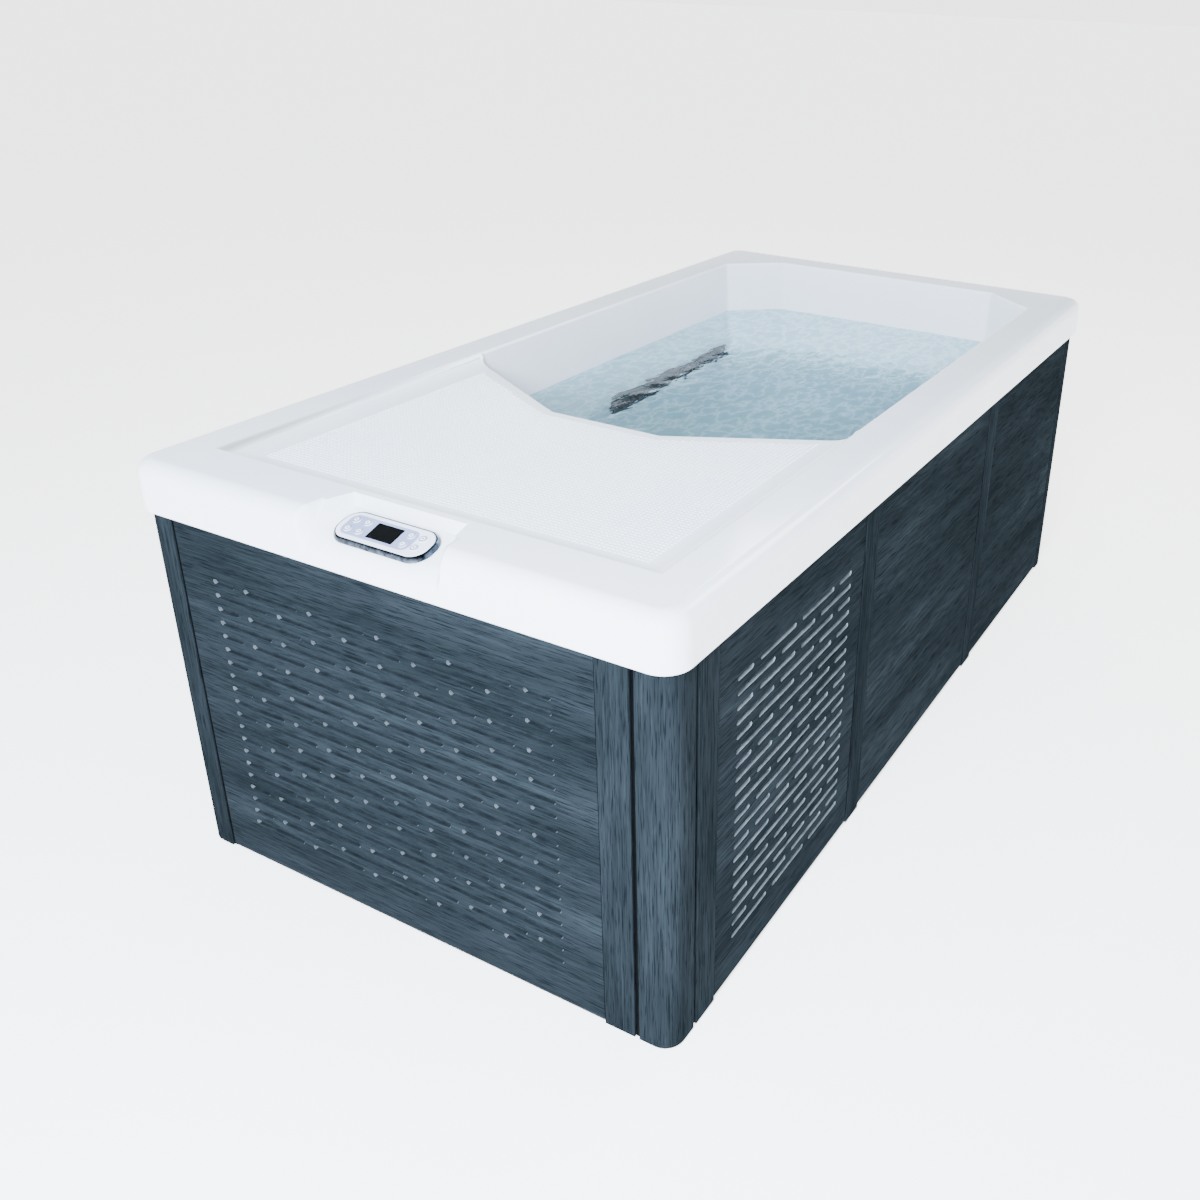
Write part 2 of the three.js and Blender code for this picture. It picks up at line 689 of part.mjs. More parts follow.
// A thin lip along each edge of a post closes the groove beside it from behind
function cornerPost() {
  const t = PANEL_THICKNESS;
  const lipFace = t - POST_LIP;
  const lipEnd = POST_WIDTH + GROOVE - CLEARANCE;
  const shape = new THREE.Shape();
  shape.moveTo(-lipEnd, lipFace);
  shape.lineTo(-POST_WIDTH, lipFace);
  shape.lineTo(-POST_WIDTH, 0);
  shape.absarc(-postRadius, postRadius, postRadius, -Math.PI / 2, 0);
  shape.lineTo(0, POST_WIDTH);
  shape.lineTo(-lipFace, POST_WIDTH);
  shape.lineTo(-lipFace, lipEnd);
  shape.lineTo(-t, lipEnd);
  shape.absarc(-postRadius, postRadius, postInnerRadius, 0, -Math.PI / 2, true);
  shape.lineTo(-lipEnd, t);
  return prism(shape, POST_FLOOR_GAP, skirtTop, 3);
}

function makePosts() {
  const corners = [["front_right", 1, -1], ["rear_right", 1, 1],
    ["rear_left", -1, 1], ["front_left", -1, -1]];
  corners.forEach(([name, sideX, sideY], quarter) => {
    const post = add(`${name}_post`, cornerPost(), woodgrain);
    post.position.set(sideX * skirtX, sideY * skirtY, 0);
    post.rotation.z = quarter * Math.PI / 2;
  });
}

// Base pan, welded frame and cradle
function frameRing(bottom) {
  const shape = roundedRectangle(2 * backX, 2 * backY, postInnerRadius);
  shape.holes = [rectangleHole(0, 2 * (backX - FRAME_TUBE), 2 * (backY - FRAME_TUBE))];
  return prism(shape, bottom, bottom + FRAME_TUBE, 2);
}

// Each upright is a slimmer tube, welded into the middle of the two rings
const topRing = rimUnderside - CLEARANCE - FRAME_TUBE;

function upright(x, y) {
  const half = UPRIGHT_TUBE / 2;
  const inRing = FRAME_TUBE / 2;
  return block(x - half, x + half, y - half, y + half, panTop + inRing, topRing + inRing);
}

function makeFrame() {
  const gapHalf = NOTCH_FRONT_HALF + 2 * SHELL_WALL + NOTCH_FLARE;
  const gapRear = FRAME_TUBE - backY + SHELL_WALL;
  const notchGap = block(-gapHalf, gapHalf, -LENGTH / 2, gapRear, topRing - 1, HEIGHT);
  const bridgeTop = apronBottom - NOTCH_BRIDGE_DROP + FRAME_TUBE;
  const railX = endLimit + GROOVE / 2;
  const bridge = block(-railX, railX, -backY, FRAME_TUBE - backY, bridgeTop - FRAME_TUBE, bridgeTop);
  const uprights = [];
  for (const side of [-1, 1]) {
    for (const end of [-1, 1]) {
      uprights.push(upright(side * railX, end * (backY - FRAME_TUBE / 2)));
      uprights.push(upright(side * (backX - FRAME_TUBE / 2), end * (sideLimit + GROOVE / 2)));
    }
    for (const seam of seams) {
      uprights.push(upright(side * (backX - FRAME_TUBE / 2), seam));
    }
  }
  const rings = [frameRing(panTop), cut(frameRing(topRing), notchGap)];
  add("steel_frame", join(...rings, bridge, ...uprights), galvanised);
}

function makeBase() {
  const plan = roundedRectangle(2 * backX, 2 * backY, postInnerRadius);
  add("base_pan", prism(plan, 0, PAN_THICKNESS, 2), panPlastic);
  const half = wellHalf - CRADLE_SIDE_MARGIN;
  const front = wellFront + CRADLE_END_MARGIN;
  const rear = wellRear - CRADLE_END_MARGIN;
  const top = WELL_FLOOR_HEIGHT - SHELL_WALL - CLEARANCE;
  const channelHalf = DRAIN_CHANNEL / 2;
  const channel = block(-channelHalf, channelHalf, front - 1, drainY + channelHalf, 0, HEIGHT);
  add("well_cradle", cut(block(-half, half, front, rear, panTop, top), channel), foam);
}

// Control panel
function crownedPlate(width, depth, radius, bottom, top, crown) {
  return loft([
    rectangleRing(width, depth, radius, bottom),
    rectangleRing(width, depth, radius, top - crown),
    rectangleRing(width - crown * 0.6, depth - crown * 0.6, radius - crown * 0.3, top - crown * 0.3),
    rectangleRing(width - crown * 2, depth - crown * 2, radius - crown, top),
  ]);
}

const buttonPlaces = [];
for (const side of [-1, 1]) {
  for (const column of BUTTON_COLUMNS) {
    for (const row of [1, -1]) {
      buttonPlaces.push([side * column, row * BUTTON_ROW_OFFSET]);
    }
  }
}
const faceWidth = BEZEL_WIDTH - 2 * BEZEL_WALL - 2 * CLEARANCE;
const faceDepth = BEZEL_DEPTH - 2 * BEZEL_WALL - 2 * CLEARANCE;
const faceRadius = BEZEL_RADIUS - BEZEL_WALL - CLEARANCE;
const faceBottom = FACE_SEAT + CLEARANCE;
const faceTop = faceBottom + FACE_THICKNESS;

function makeBezel() {
  const crowned = crownedPlate(BEZEL_WIDTH, BEZEL_DEPTH, BEZEL_RADIUS, CLEARANCE, BEZEL_HEIGHT, BEZEL_CROWN);
  const fit = 2 * CLEARANCE;
  const seat = prism(roundedRectangle(faceWidth + fit, faceDepth + fit, faceRadius + CLEARANCE), FACE_SEAT,
    BEZEL_HEIGHT + 1, 3);
  const housing = prism(roundedRectangle(HOUSING_WIDTH, HOUSING_DEPTH, SHELL_WALL), -HOUSING_DROP, 1, 2);
  const pockets = buttonPlaces.map(([x, y]) => prism(
    new THREE.Shape(circlePoints(x, y, BUTTON_FLANGE + BUTTON_FIT, BUTTON_SIDES)),
    FACE_SEAT - BUTTON_POCKET_DEPTH, FACE_SEAT + 1));
  add("control_bezel", cut(join(crowned, housing), seat, ...pockets), chrome, control);
}

function makeFace() {
  const shape = roundedRectangle(faceWidth, faceDepth, faceRadius);
  shape.holes = buttonPlaces.map(([x, y]) => new THREE.Path(
    circlePoints(x, y, BUTTON_RADIUS + BUTTON_FIT, BUTTON_SIDES)));
  shape.holes.push(rectangleHole(0, DISPLAY_WIDTH + 2 * CLEARANCE, DISPLAY_DEPTH + 2 * CLEARANCE));
  add("control_face", prism(shape, faceBottom, faceTop, 3), whitePlastic, control);
  const halfX = DISPLAY_WIDTH / 2;
  const halfY = DISPLAY_DEPTH / 2;
  const display = block(-halfX, halfX, -halfY, halfY, faceBottom, faceBottom + DISPLAY_THICKNESS);
  add("control_display", display, blackGlass, control);
}

function makeButtons() {
  const flangeTop = faceBottom - BUTTON_FIT;
  const flangeBottom = flangeTop - BUTTON_FLANGE_HEIGHT;
  const crown = faceTop + BUTTON_PROUD;
  const profile = [[0, flangeBottom], [BUTTON_FLANGE, flangeBottom], [BUTTON_FLANGE, flangeTop],
    [BUTTON_RADIUS, flangeTop], [BUTTON_RADIUS, crown - BUTTON_FIT], [0, crown]];
  buttonPlaces.forEach(([x, y], i) => {
    const form = turned(profile, BUTTON_SIDES).rotateZ(Math.PI / 2);
    add(`button_${i + 1}`, geometryOf(solidOf(form)), buttonGrey, control).position.set(x, y, 0);
  });
}

// Water fittings
function makeGrille() {
  const pitch = (GRILLE_LENGTH - 2 * GRILLE_BORDER) / GRILLE_SLOTS;
  const front = CLEARANCE + GRILLE_THICKNESS;
  const plate = prism(roundedRectangle(GRILLE_LENGTH, GRILLE_HEIGHT, GRILLE_BORDER / 2), CLEARANCE, front, 2);
  plate.applyMatrix4(new THREE.Matrix4().makeBasis(vector(0, 1, 0), vector(0, 0, 1), vector(1, 0, 0)));
  const high = GRILLE_HEIGHT / 2 - GRILLE_BORDER;
  const slots = [];
  for (let i = 0; i < GRILLE_SLOTS; i += 1) {
    const from = GRILLE_BORDER + i * pitch + GRILLE_BAR / 2 - GRILLE_LENGTH / 2;
    slots.push(block(0, front + 1, from, from + pitch - GRILLE_BAR, -high, high));
  }
  add("suction_grille", cut(plate, ...slots), slatePlastic, suctionWall);
}

const suctionSpigotX = -SHELL_WALL - CLEARANCE - SUCTION_BOX_DEPTH / 2;
const suctionSpigotY = -GRILLE_LENGTH / 2 - PORT_LENGTH;

function makeSuctionBox() {
  const back = -SHELL_WALL - CLEARANCE;
  const half = GRILLE_LENGTH / 2;
  const high = GRILLE_HEIGHT / 2;
  const wall = SUCTION_BOX_WALL;
  const far = back - SUCTION_BOX_DEPTH;
  const outer = block(far, back, -half, half, -high, high);
  const inner = block(far + wall, back + 1, wall - half, half - wall, wall - high, high - wall);
  const spigotStart = vector(suctionSpigotX, suctionSpigotY, 0);
  const spigot = rod(spigotStart, vector(suctionSpigotX, wall / 2 - half, 0), PIPE_RADIUS);
  add("suction_box", join(cut(outer, inner), spigot), slatePlastic, suctionWall);
}

function makeReturnFitting() {
  const nozzle = PIPE_RADIUS / 2;
  const face = CLEARANCE + RETURN_FLANGE_THICKNESS;
  const tail = -SHELL_WALL - RETURN_TAIL;
  const lip = face - NOZZLE_LIP;
  const profile = [[0, tail], [PIPE_RADIUS, tail], [PIPE_RADIUS, CLEARANCE],
    [RETURN_FLANGE_RADIUS, CLEARANCE], [RETURN_FLANGE_RADIUS, lip],
    [nozzle + NOZZLE_LIP, face], [nozzle, lip], [0, lip]];
  const fitting = add("return_fitting", geometryOf(solidOf(turned(profile))), whitePlastic);
  fitting.position.copy(returnPoint);
  fitting.quaternion.setFromUnitVectors(vector(0, 0, 1), returnAxis);
}

const drainOutletY = drainY - DRAIN_TAIL_RADIUS - PORT_LENGTH;

function makeDrain() {
  const seat = WELL_FLOOR_HEIGHT + CLEARANCE;
  const top = seat + DRAIN_FLANGE_THICKNESS;
  const bottom = drainPipeZ - DRAIN_PIPE_RADIUS - DRAIN_FLANGE_THICKNESS;
  const profile = [[0, bottom], [DRAIN_TAIL_RADIUS, bottom], [DRAIN_TAIL_RADIUS, seat],
    [DRAIN_FLANGE_RADIUS, seat], [DRAIN_FLANGE_RADIUS - DRAIN_FLANGE_THICKNESS, top], [0, top]];
  const outlet = rod(vector(0, drainY, drainPipeZ), vector(0, drainOutletY, drainPipeZ), DRAIN_PIPE_RADIUS);
  add("floor_drain", join(turned(profile).translate(0, drainY, 0), outlet), chrome);
}

// Chiller: air comes in through the right panel, over the coil, and the fan sends it out at the front
const ventMiddleY = (seams[0] - GROOVE / 2 - sideLimit + STILE_WIDTH) / 2;
const coilRight = backX - FRAME_TUBE - COIL_FRAME_GAP;
const coilLeft = coilRight - COIL_THICKNESS;
const coilFront = ventMiddleY - COIL_WIDTH / 2;
const coilRear = ventMiddleY + COIL_WIDTH / 2;
const coilTop = panTop + COIL_HEIGHT;
const shroudRight = coilLeft - CLEARANCE;
const shroudLeft = shroudRight - SHROUD_DEPTH;
const fanZ = panTop + FAN_HEIGHT;

function makeCoil() {
  const pitch = COIL_WIDTH / COIL_FINS;
  const root = coilRight - FIN_DEPTH;
  const points = [new THREE.Vector2(coilLeft, coilRear), new THREE.Vector2(coilLeft, coilFront)];
  for (let i = 0; i < COIL_FINS; i += 1) {
    const y = coilFront + i * pitch;
    points.push(new THREE.Vector2(coilRight, y), new THREE.Vector2(coilRight, y + pitch * FIN_SHARE));
    points.push(new THREE.Vector2(root, y + pitch * FIN_SHARE), new THREE.Vector2(root, y + pitch));
  }
  add("condenser_coil", prism(new THREE.Shape(points), panTop, coilTop), fins);
}

function onFanAxis(x) {
  return vector(x, ventMiddleY, fanZ);
}

function makeShroud() {
  const box = block(shroudLeft, shroudRight, coilFront, coilRear, panTop, coilTop);
  const duct = rod(onFanAxis(shroudLeft - 1), onFanAxis(shroudRight + 1), DUCT_RADIUS, 2 * ROUND_SIDES);
  const armRight = shroudLeft + MOTOR_ARM_THICKNESS;
  const half = MOTOR_ARM / 2;
  const reach = DUCT_RADIUS + half;
  const upArm = block(shroudLeft, armRight, -half, half, -reach, reach).translate(0, ventMiddleY, fanZ);
  const acrossArm = block(shroudLeft, armRight, -reach, reach, -half, half).translate(0, ventMiddleY, fanZ);
  const hub = rod(onFanAxis(shroudLeft), onFanAxis(armRight), MOTOR_RADIUS);
  const shaftHole = rod(onFanAxis(shroudLeft - 1), onFanAxis(armRight + 1), SHAFT_RADIUS + 1);
  add("fan_shroud", cut(join(cut(box, duct), upArm, acrossArm, hub), shaftHole), galvanised);
}

function makeFan() {
  const motorRight = shroudLeft - CLEARANCE;
  const motorLeft = motorRight - MOTOR_LENGTH;
  const shaftEnd = motorRight - SHAFT_ENGAGEMENT;
  const bore = rod(onFanAxis(shaftEnd - 1), onFanAxis(motorRight + 1), SHAFT_RADIUS + CLEARANCE);
  add("fan_motor", cut(rod(onFanAxis(motorLeft), onFanAxis(motorRight), MOTOR_RADIUS), bore), blackPaint);
  const bladeSweep = BLADE_TIP_CHORD / 2 * Math.sin(BLADE_PITCH) + BLADE_THICKNESS;
  const fanMiddle = shroudLeft + MOTOR_ARM_THICKNESS + FAN_RUNNING_GAP + bladeSweep;
  const hubLeft = fanMiddle - FAN_HUB_LENGTH / 2;
  const hubRight = fanMiddle + FAN_HUB_LENGTH / 2;
  const hub = rod(onFanAxis(hubLeft), onFanAxis(hubRight), FAN_HUB_RADIUS);
  const shaft = rod(onFanAxis(shaftEnd), onFanAxis(hubRight), SHAFT_RADIUS);
  const blades = [];
  for (let i = 0; i < FAN_BLADES; i += 1) {
    const blade = fanBlade().rotateX(i / FAN_BLADES * Math.PI * 2);
    blades.push(blade.translate(fanMiddle, ventMiddleY, fanZ));
  }
  add("fan_rotor", join(hub, shaft, ...blades), slatePlastic);
}

// A paddle blade, broader at its rounded tip, standing along +Z and pitched about its own length
function fanBlade() {
  const root = FAN_HUB_RADIUS * 0.7;
  const shoulder = FAN_RADIUS * 0.88;
  const shape = new THREE.Shape();
  shape.moveTo(-BLADE_ROOT_CHORD / 2, root);
  shape.lineTo(BLADE_ROOT_CHORD / 2, root);
  shape.lineTo(BLADE_TIP_CHORD / 2, shoulder);
  shape.quadraticCurveTo(0, 2 * FAN_RADIUS - shoulder - 20, -BLADE_TIP_CHORD / 2, shoulder);
  const blade = prism(shape, -BLADE_THICKNESS / 2, BLADE_THICKNESS / 2, 3);
  blade.applyMatrix4(new THREE.Matrix4().makeBasis(vector(0, 1, 0), vector(0, 0, 1), vector(1, 0, 0)));
  return blade.rotateZ(-BLADE_PITCH);
}

const bayFront = -skirtY;
const compressorY = bayFront + COMPRESSOR_FROM_FRONT;
const exchangerY = bayFront + EXCHANGER_FROM_FRONT;

function makeCompressor() {
  const base = panTop + COMPRESSOR_FOOT_THICKNESS - 1;
  const r = COMPRESSOR_RADIUS;
  const h = COMPRESSOR_HEIGHT;
  const profile = [[0, base], [r * 0.9, base], [r, base + h * 0.08], [r, base + h * 0.78],
    [r * 0.8, base + h * 0.92], [r * 0.3, base + h], [0, base + h]];
  const half = COMPRESSOR_FOOT / 2;
  const foot = block(-half, half, -half, half, panTop, panTop + COMPRESSOR_FOOT_THICKNESS);
  const body = join(turned(profile), foot);
  add("compressor", body, blackPaint).position.set(COMPRESSOR_X, compressorY, 0);
}

const exchangerPortX = COMPRESSOR_X - EXCHANGER_RADIUS - PORT_LENGTH;
const returnBend = alongReturn((exchangerY - returnPoint.y) / returnAxis.y);

function makeExchanger() {
  const r = EXCHANGER_RADIUS;
  const top = panTop + EXCHANGER_HEIGHT;
  const barrel = turned([[0, panTop], [r, panTop], [r, top - r * 0.4], [r * 0.6, top], [0, top]]);
  const ports = [EXCHANGER_PORT_LOW, returnBend.z].map((height) => rod(
    vector(-r - PORT_LENGTH, 0, height), vector(0, 0, height), PIPE_RADIUS));
  add("heat_exchanger", join(barrel, ...ports), pvc).position.set(COMPRESSOR_X, exchangerY, 0);
}

function makeRefrigerantLines() {
  const headerX = coilLeft + COIL_THICKNESS / 2 - FIN_DEPTH / 2;
  const coilEnd = coilFront - CLEARANCE;
  const runY = coilFront - 2 * LINE_BEND;
  const domeTop = panTop + COMPRESSOR_FOOT_THICKNESS - 1 + COMPRESSOR_HEIGHT + CLEARANCE;
  const high = domeTop + 3 * LINE_BEND;
  const header = high + 3 * LINE_BEND;
  const discharge = refrigerantLine(
    vector(COMPRESSOR_X, compressorY, domeTop),
    vector(COMPRESSOR_X, compressorY, high),
    vector(COMPRESSOR_X, runY, high),
    vector(headerX, runY, high),
    vector(headerX, runY, header),
    vector(headerX, coilEnd, header),
  );
  add("discharge_line", discharge, copper);
  const shellFace = exchangerY - EXCHANGER_RADIUS - CLEARANCE;
  const domeFace = compressorY + COMPRESSOR_RADIUS + CLEARANCE;
  const suction = refrigerantLine(
    vector(COMPRESSOR_X, shellFace, SUCTION_LINE_HEIGHT),
    vector(COMPRESSOR_X, domeFace, SUCTION_LINE_HEIGHT),
  );
  add("suction_line", suction, copper);
  const exchangerFace = COMPRESSOR_X + EXCHANGER_RADIUS + CLEARANCE;
  const turnX = exchangerFace + 2 * LINE_BEND;
  const liquid = refrigerantLine(
    vector(headerX, coilEnd, LIQUID_LINE_HEIGHT),
    vector(headerX, runY, LIQUID_LINE_HEIGHT),
    vector(turnX, runY, LIQUID_LINE_HEIGHT),
    vector(turnX, exchangerY, LIQUID_LINE_HEIGHT),
    vector(exchangerFace, exchangerY, LIQUID_LINE_HEIGHT),
  );
  add("liquid_line", liquid, copper);
}

// Pump, filter and the pipes between them
const pumpY = bayFront + PUMP_FROM_FRONT;
const pumpZ = panTop + PUMP_AXIS_HEIGHT;
const pumpInletY = pumpY + PUMP_VOLUTE_LENGTH / 2 + PORT_LENGTH;
const pumpOutletZ = pumpZ + PUMP_VOLUTE_RADIUS + PORT_LENGTH;
const filterY = bayFront + FILTER_FROM_FRONT;
const filterTop = panTop + FILTER_HEIGHT;
const filterPortZ = filterTop - FILTER_PORT_DROP;
const filterPortReach = FILTER_RADIUS + PORT_LENGTH;

function makePump() {
  const voluteFront = pumpY - PUMP_VOLUTE_LENGTH / 2;
  const at = (y) => vector(PUMP_X, y, pumpZ);
  const volute = rod(at(voluteFront), at(pumpY + PUMP_VOLUTE_LENGTH / 2), PUMP_VOLUTE_RADIUS);
  const motor = rod(at(voluteFront - PUMP_MOTOR_LENGTH), at(pumpY), PUMP_MOTOR_RADIUS);
  const inlet = rod(at(pumpY), at(pumpInletY), PIPE_RADIUS);
  const outlet = rod(at(pumpY), vector(PUMP_X, pumpY, pumpOutletZ), PIPE_RADIUS);
  const footFront = voluteFront - PUMP_MOTOR_LENGTH * 0.8;
  const footRear = voluteFront - PUMP_MOTOR_LENGTH * 0.2;
  const footTop = pumpZ - PUMP_MOTOR_RADIUS * 0.6;
  const footHalf = PUMP_MOTOR_RADIUS;
  const foot = block(PUMP_X - footHalf, PUMP_X + footHalf, footFront, footRear, panTop, footTop);
  add("circulation_pump", join(volute, motor, inlet, outlet, foot), blackPaint);
}

function makeFilter() {
  const r = FILTER_RADIUS;
  const wall = FILTER_WALL;
  const cup = turned([[0, panTop], [r - 8, panTop], [r, panTop + 10], [r, filterTop], [r - wall, filterTop],
    [r - wall, panTop + 2 * wall], [0, panTop + 2 * wall]]);
  const root = r - wall / 2;
  const rearPort = rod(vector(0, root, filterPortZ), vector(0, filterPortReach, filterPortZ), PIPE_RADIUS);
  const sidePort = rod(vector(root, 0, filterPortZ), vector(filterPortReach, 0, filterPortZ), PIPE_RADIUS);
  add("filter_housing", join(cup, rearPort, sidePort), slatePlastic).position.set(PUMP_X, filterY, 0);
  const seat = filterTop + CLEARANCE;
  const plug = r - wall - CLEARANCE * 2;
  const capTop = seat + FILTER_CAP_HEIGHT;
  const shoulder = seat + FILTER_CAP_HEIGHT * 0.7;
  const cap = turned([[0, seat - wall], [plug, seat - wall], [plug, seat], [r + wall, seat],
    [r + wall, shoulder], [r * 0.7, capTop], [0, capTop]]);
  add("filter_cap", geometryOf(solidOf(cap)), blackPaint).position.set(PUMP_X, filterY, 0);
  const pleats = [];
  for (let i = 0; i < CARTRIDGE_PLEATS * 2; i += 1) {
    const radius = CARTRIDGE_RADIUS - (i % 2) * CARTRIDGE_PLEAT;
    const angle = i / CARTRIDGE_PLEATS * Math.PI;
    pleats.push(new THREE.Vector2(radius * Math.cos(angle), radius * Math.sin(angle)));
  }
  const floor = panTop + 2 * wall + CLEARANCE;
  const cartridge = prism(new THREE.Shape(pleats), floor, floor + CARTRIDGE_HEIGHT);
  add("filter_cartridge", cartridge, pvc).position.set(PUMP_X, filterY, 0);
}

function makeWaterPipes() {
  suctionWall.updateMatrixWorld();
  const spigotEnd = suctionWall.localToWorld(vector(suctionSpigotX, suctionSpigotY - CLEARANCE, 0));
  const dropY = pumpInletY + CLEARANCE + 2 * PIPE_BEND;
  const suction = waterPipe(
    spigotEnd,
    vector(spigotEnd.x, dropY, spigotEnd.z),
    vector(spigotEnd.x, dropY, pumpZ),
    vector(PUMP_X, dropY, pumpZ),
    vector(PUMP_X, pumpInletY + CLEARANCE, pumpZ),
  );
  add("suction_pipe", suction, pvc);
  const toFilter = waterPipe(
    vector(PUMP_X, pumpY, pumpOutletZ + CLEARANCE),
    vector(PUMP_X, pumpY, filterPortZ),
    vector(PUMP_X, filterY + filterPortReach + CLEARANCE, filterPortZ),
  );
  add("filter_pipe", toFilter, pvc);
  const portX = exchangerPortX - CLEARANCE;
  const dropX = portX - 2 * PIPE_BEND;
  const toChiller = waterPipe(
    vector(PUMP_X + filterPortReach + CLEARANCE, filterY, filterPortZ),
    vector(dropX, filterY, filterPortZ),
    vector(dropX, exchangerY, filterPortZ),
    vector(dropX, exchangerY, EXCHANGER_PORT_LOW),
    vector(portX, exchangerY, EXCHANGER_PORT_LOW),
  );
  add("chiller_pipe", toChiller, pvc);
  const tailEnd = alongReturn(-SHELL_WALL - RETURN_TAIL - CLEARANCE);
  add("return_pipe", waterPipe(vector(portX, exchangerY, returnBend.z), returnBend, tailEnd), pvc);
}

function makeControlBox() {
  const { x, y, z } = CONTROL_BOX;
  const box = prism(roundedRectangle(x, y, CONTROL_BOX_RADIUS), panTop, panTop + z, 2);
  add("control_box", box, whitePlastic).position.set(CONTROL_BOX_X, bayFront + CONTROL_BOX_FROM_FRONT, 0);
}

// Drain valve on the end of its glued pipe, with a lever that turns a quarter
const valveY = wellFront - VALVE_LENGTH - PORT_LENGTH;
const stemTop = drainPipeZ + VALVE_RADIUS + VALVE_STEM_HEIGHT;

function makeDrainValve() {
  const at = (y) => vector(0, y, drainPipeZ);
  const tube = rod(at(drainOutletY - CLEARANCE), at(valveY), DRAIN_PIPE_RADIUS);
  const body = rod(at(valveY + VALVE_LENGTH / 2), at(valveY - VALVE_LENGTH / 2), VALVE_RADIUS);
  const outlet = rod(at(valveY), at(valveY - VALVE_LENGTH), DRAIN_PIPE_RADIUS);
  const stem = rod(at(valveY), vector(0, valveY, stemTop), VALVE_STEM_RADIUS);
  add("drain_valve", join(tube, body, outlet, stem), pvc);
  const lever = new THREE.Shape();
  lever.moveTo(-LEVER_WIDTH / 2, 0);
  lever.absarc(0, 0, LEVER_WIDTH / 2, Math.PI, Math.PI * 2);
  lever.lineTo(LEVER_WIDTH * 0.35, LEVER_LENGTH);
  lever.lineTo(-LEVER_WIDTH * 0.35, LEVER_LENGTH);
  const plate = prism(lever, stemTop + CLEARANCE, stemTop + CLEARANCE + LEVER_THICKNESS, 3);
  add("drain_valve_lever", plate, valveRed).position.set(0, valveY, 0);
}

// Where the power cable enters, low on the left side near the control end
function makePowerGland() {
  const shoulder = GLAND_PROUD - (GLAND_RADIUS - GLAND_BARREL_RADIUS);
  const profile = [[0, -GLAND_TAIL], [GLAND_BARREL_RADIUS, -GLAND_TAIL], [GLAND_BARREL_RADIUS, CLEARANCE],
    [GLAND_RADIUS, CLEARANCE], [GLAND_RADIUS, shoulder], [GLAND_BARREL_RADIUS, GLAND_PROUD], [0, GLAND_PROUD]];
  const gland = add("power_gland", geometryOf(solidOf(turned(profile))), blackPaint);
  gland.position.set(-skirtX, GLAND_FROM_FRONT - skirtY, GLAND_HEIGHT);
  gland.rotation.y = -Math.PI / 2;
}

makeShell();
makeSkirt();
makePosts();
makeFrame();
makeBase();
makeBezel();
makeFace();
makeButtons();
makeGrille();
makeSuctionBox();
makeReturnFitting();
makeDrain();
makeCoil();
makeShroud();
makeFan();
makeCompressor();
makeExchanger();
makeRefrigerantLines();
makePump();
makeFilter();
makeWaterPipes();
makeControlBox();
makeDrainValve();
makePowerGland();

export default tub;
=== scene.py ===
# %% [markdown]
# A cold plunge tub, dressed for its portrait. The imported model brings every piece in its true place,
# in metres, with the control end towards -Y and the floor at zero. This lesson gives those pieces their
# finish: a gloss acrylic shell with soft edges, a slate wood-grain skirt, a chrome-edged control panel,
# and clear rippling water.

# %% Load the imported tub
import math

import bmesh
import bpy
from mathutils import Matrix, Vector, noise
from mathutils.geometry import delaunay_2d_cdt


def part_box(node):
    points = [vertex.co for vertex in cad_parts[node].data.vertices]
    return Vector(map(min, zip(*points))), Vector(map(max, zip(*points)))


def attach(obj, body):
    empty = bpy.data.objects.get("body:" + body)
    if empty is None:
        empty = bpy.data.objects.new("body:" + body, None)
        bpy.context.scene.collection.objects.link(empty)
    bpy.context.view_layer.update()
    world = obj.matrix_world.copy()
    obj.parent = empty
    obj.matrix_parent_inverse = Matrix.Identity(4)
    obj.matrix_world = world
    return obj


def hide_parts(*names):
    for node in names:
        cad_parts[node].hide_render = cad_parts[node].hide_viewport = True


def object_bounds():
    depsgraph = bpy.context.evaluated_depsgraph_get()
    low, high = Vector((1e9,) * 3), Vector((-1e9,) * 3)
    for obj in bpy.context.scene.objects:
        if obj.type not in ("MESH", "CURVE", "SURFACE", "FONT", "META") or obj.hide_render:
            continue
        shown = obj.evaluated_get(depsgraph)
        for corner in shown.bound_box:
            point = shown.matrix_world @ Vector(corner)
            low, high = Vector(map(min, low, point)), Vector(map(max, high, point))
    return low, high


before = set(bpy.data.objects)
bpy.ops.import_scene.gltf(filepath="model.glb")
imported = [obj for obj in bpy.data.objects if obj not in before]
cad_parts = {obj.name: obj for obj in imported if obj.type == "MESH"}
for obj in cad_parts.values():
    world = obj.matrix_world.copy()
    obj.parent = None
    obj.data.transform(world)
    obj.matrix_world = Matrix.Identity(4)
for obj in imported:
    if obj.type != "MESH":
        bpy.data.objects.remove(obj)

MM = 0.001
cad_low, cad_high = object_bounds()
print("packed nodes:", len(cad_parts), "box:", tuple(cad_low), tuple(cad_high))

# %% [markdown]
# The photographer stood to the right of the control end and looked down across the deck. The lens is a
# moderate wide angle, and the picture was cropped off centre, which is what the two shifts stand for.

# %% Camera
CAMERA_PLACE = Vector((1.1964, -2.0897, 1.4869))
CAMERA_YAW = math.radians(27.44)
CAMERA_PITCH = math.radians(24.83)
CAMERA_ROLL = math.radians(1.85)
CAMERA_LENS = 35.67
CAMERA_SHIFT = (-0.132, -0.0606)


def add_object(name, data):
    made = bpy.data.objects.new(name, data)
    bpy.context.scene.collection.objects.link(made)
    return made


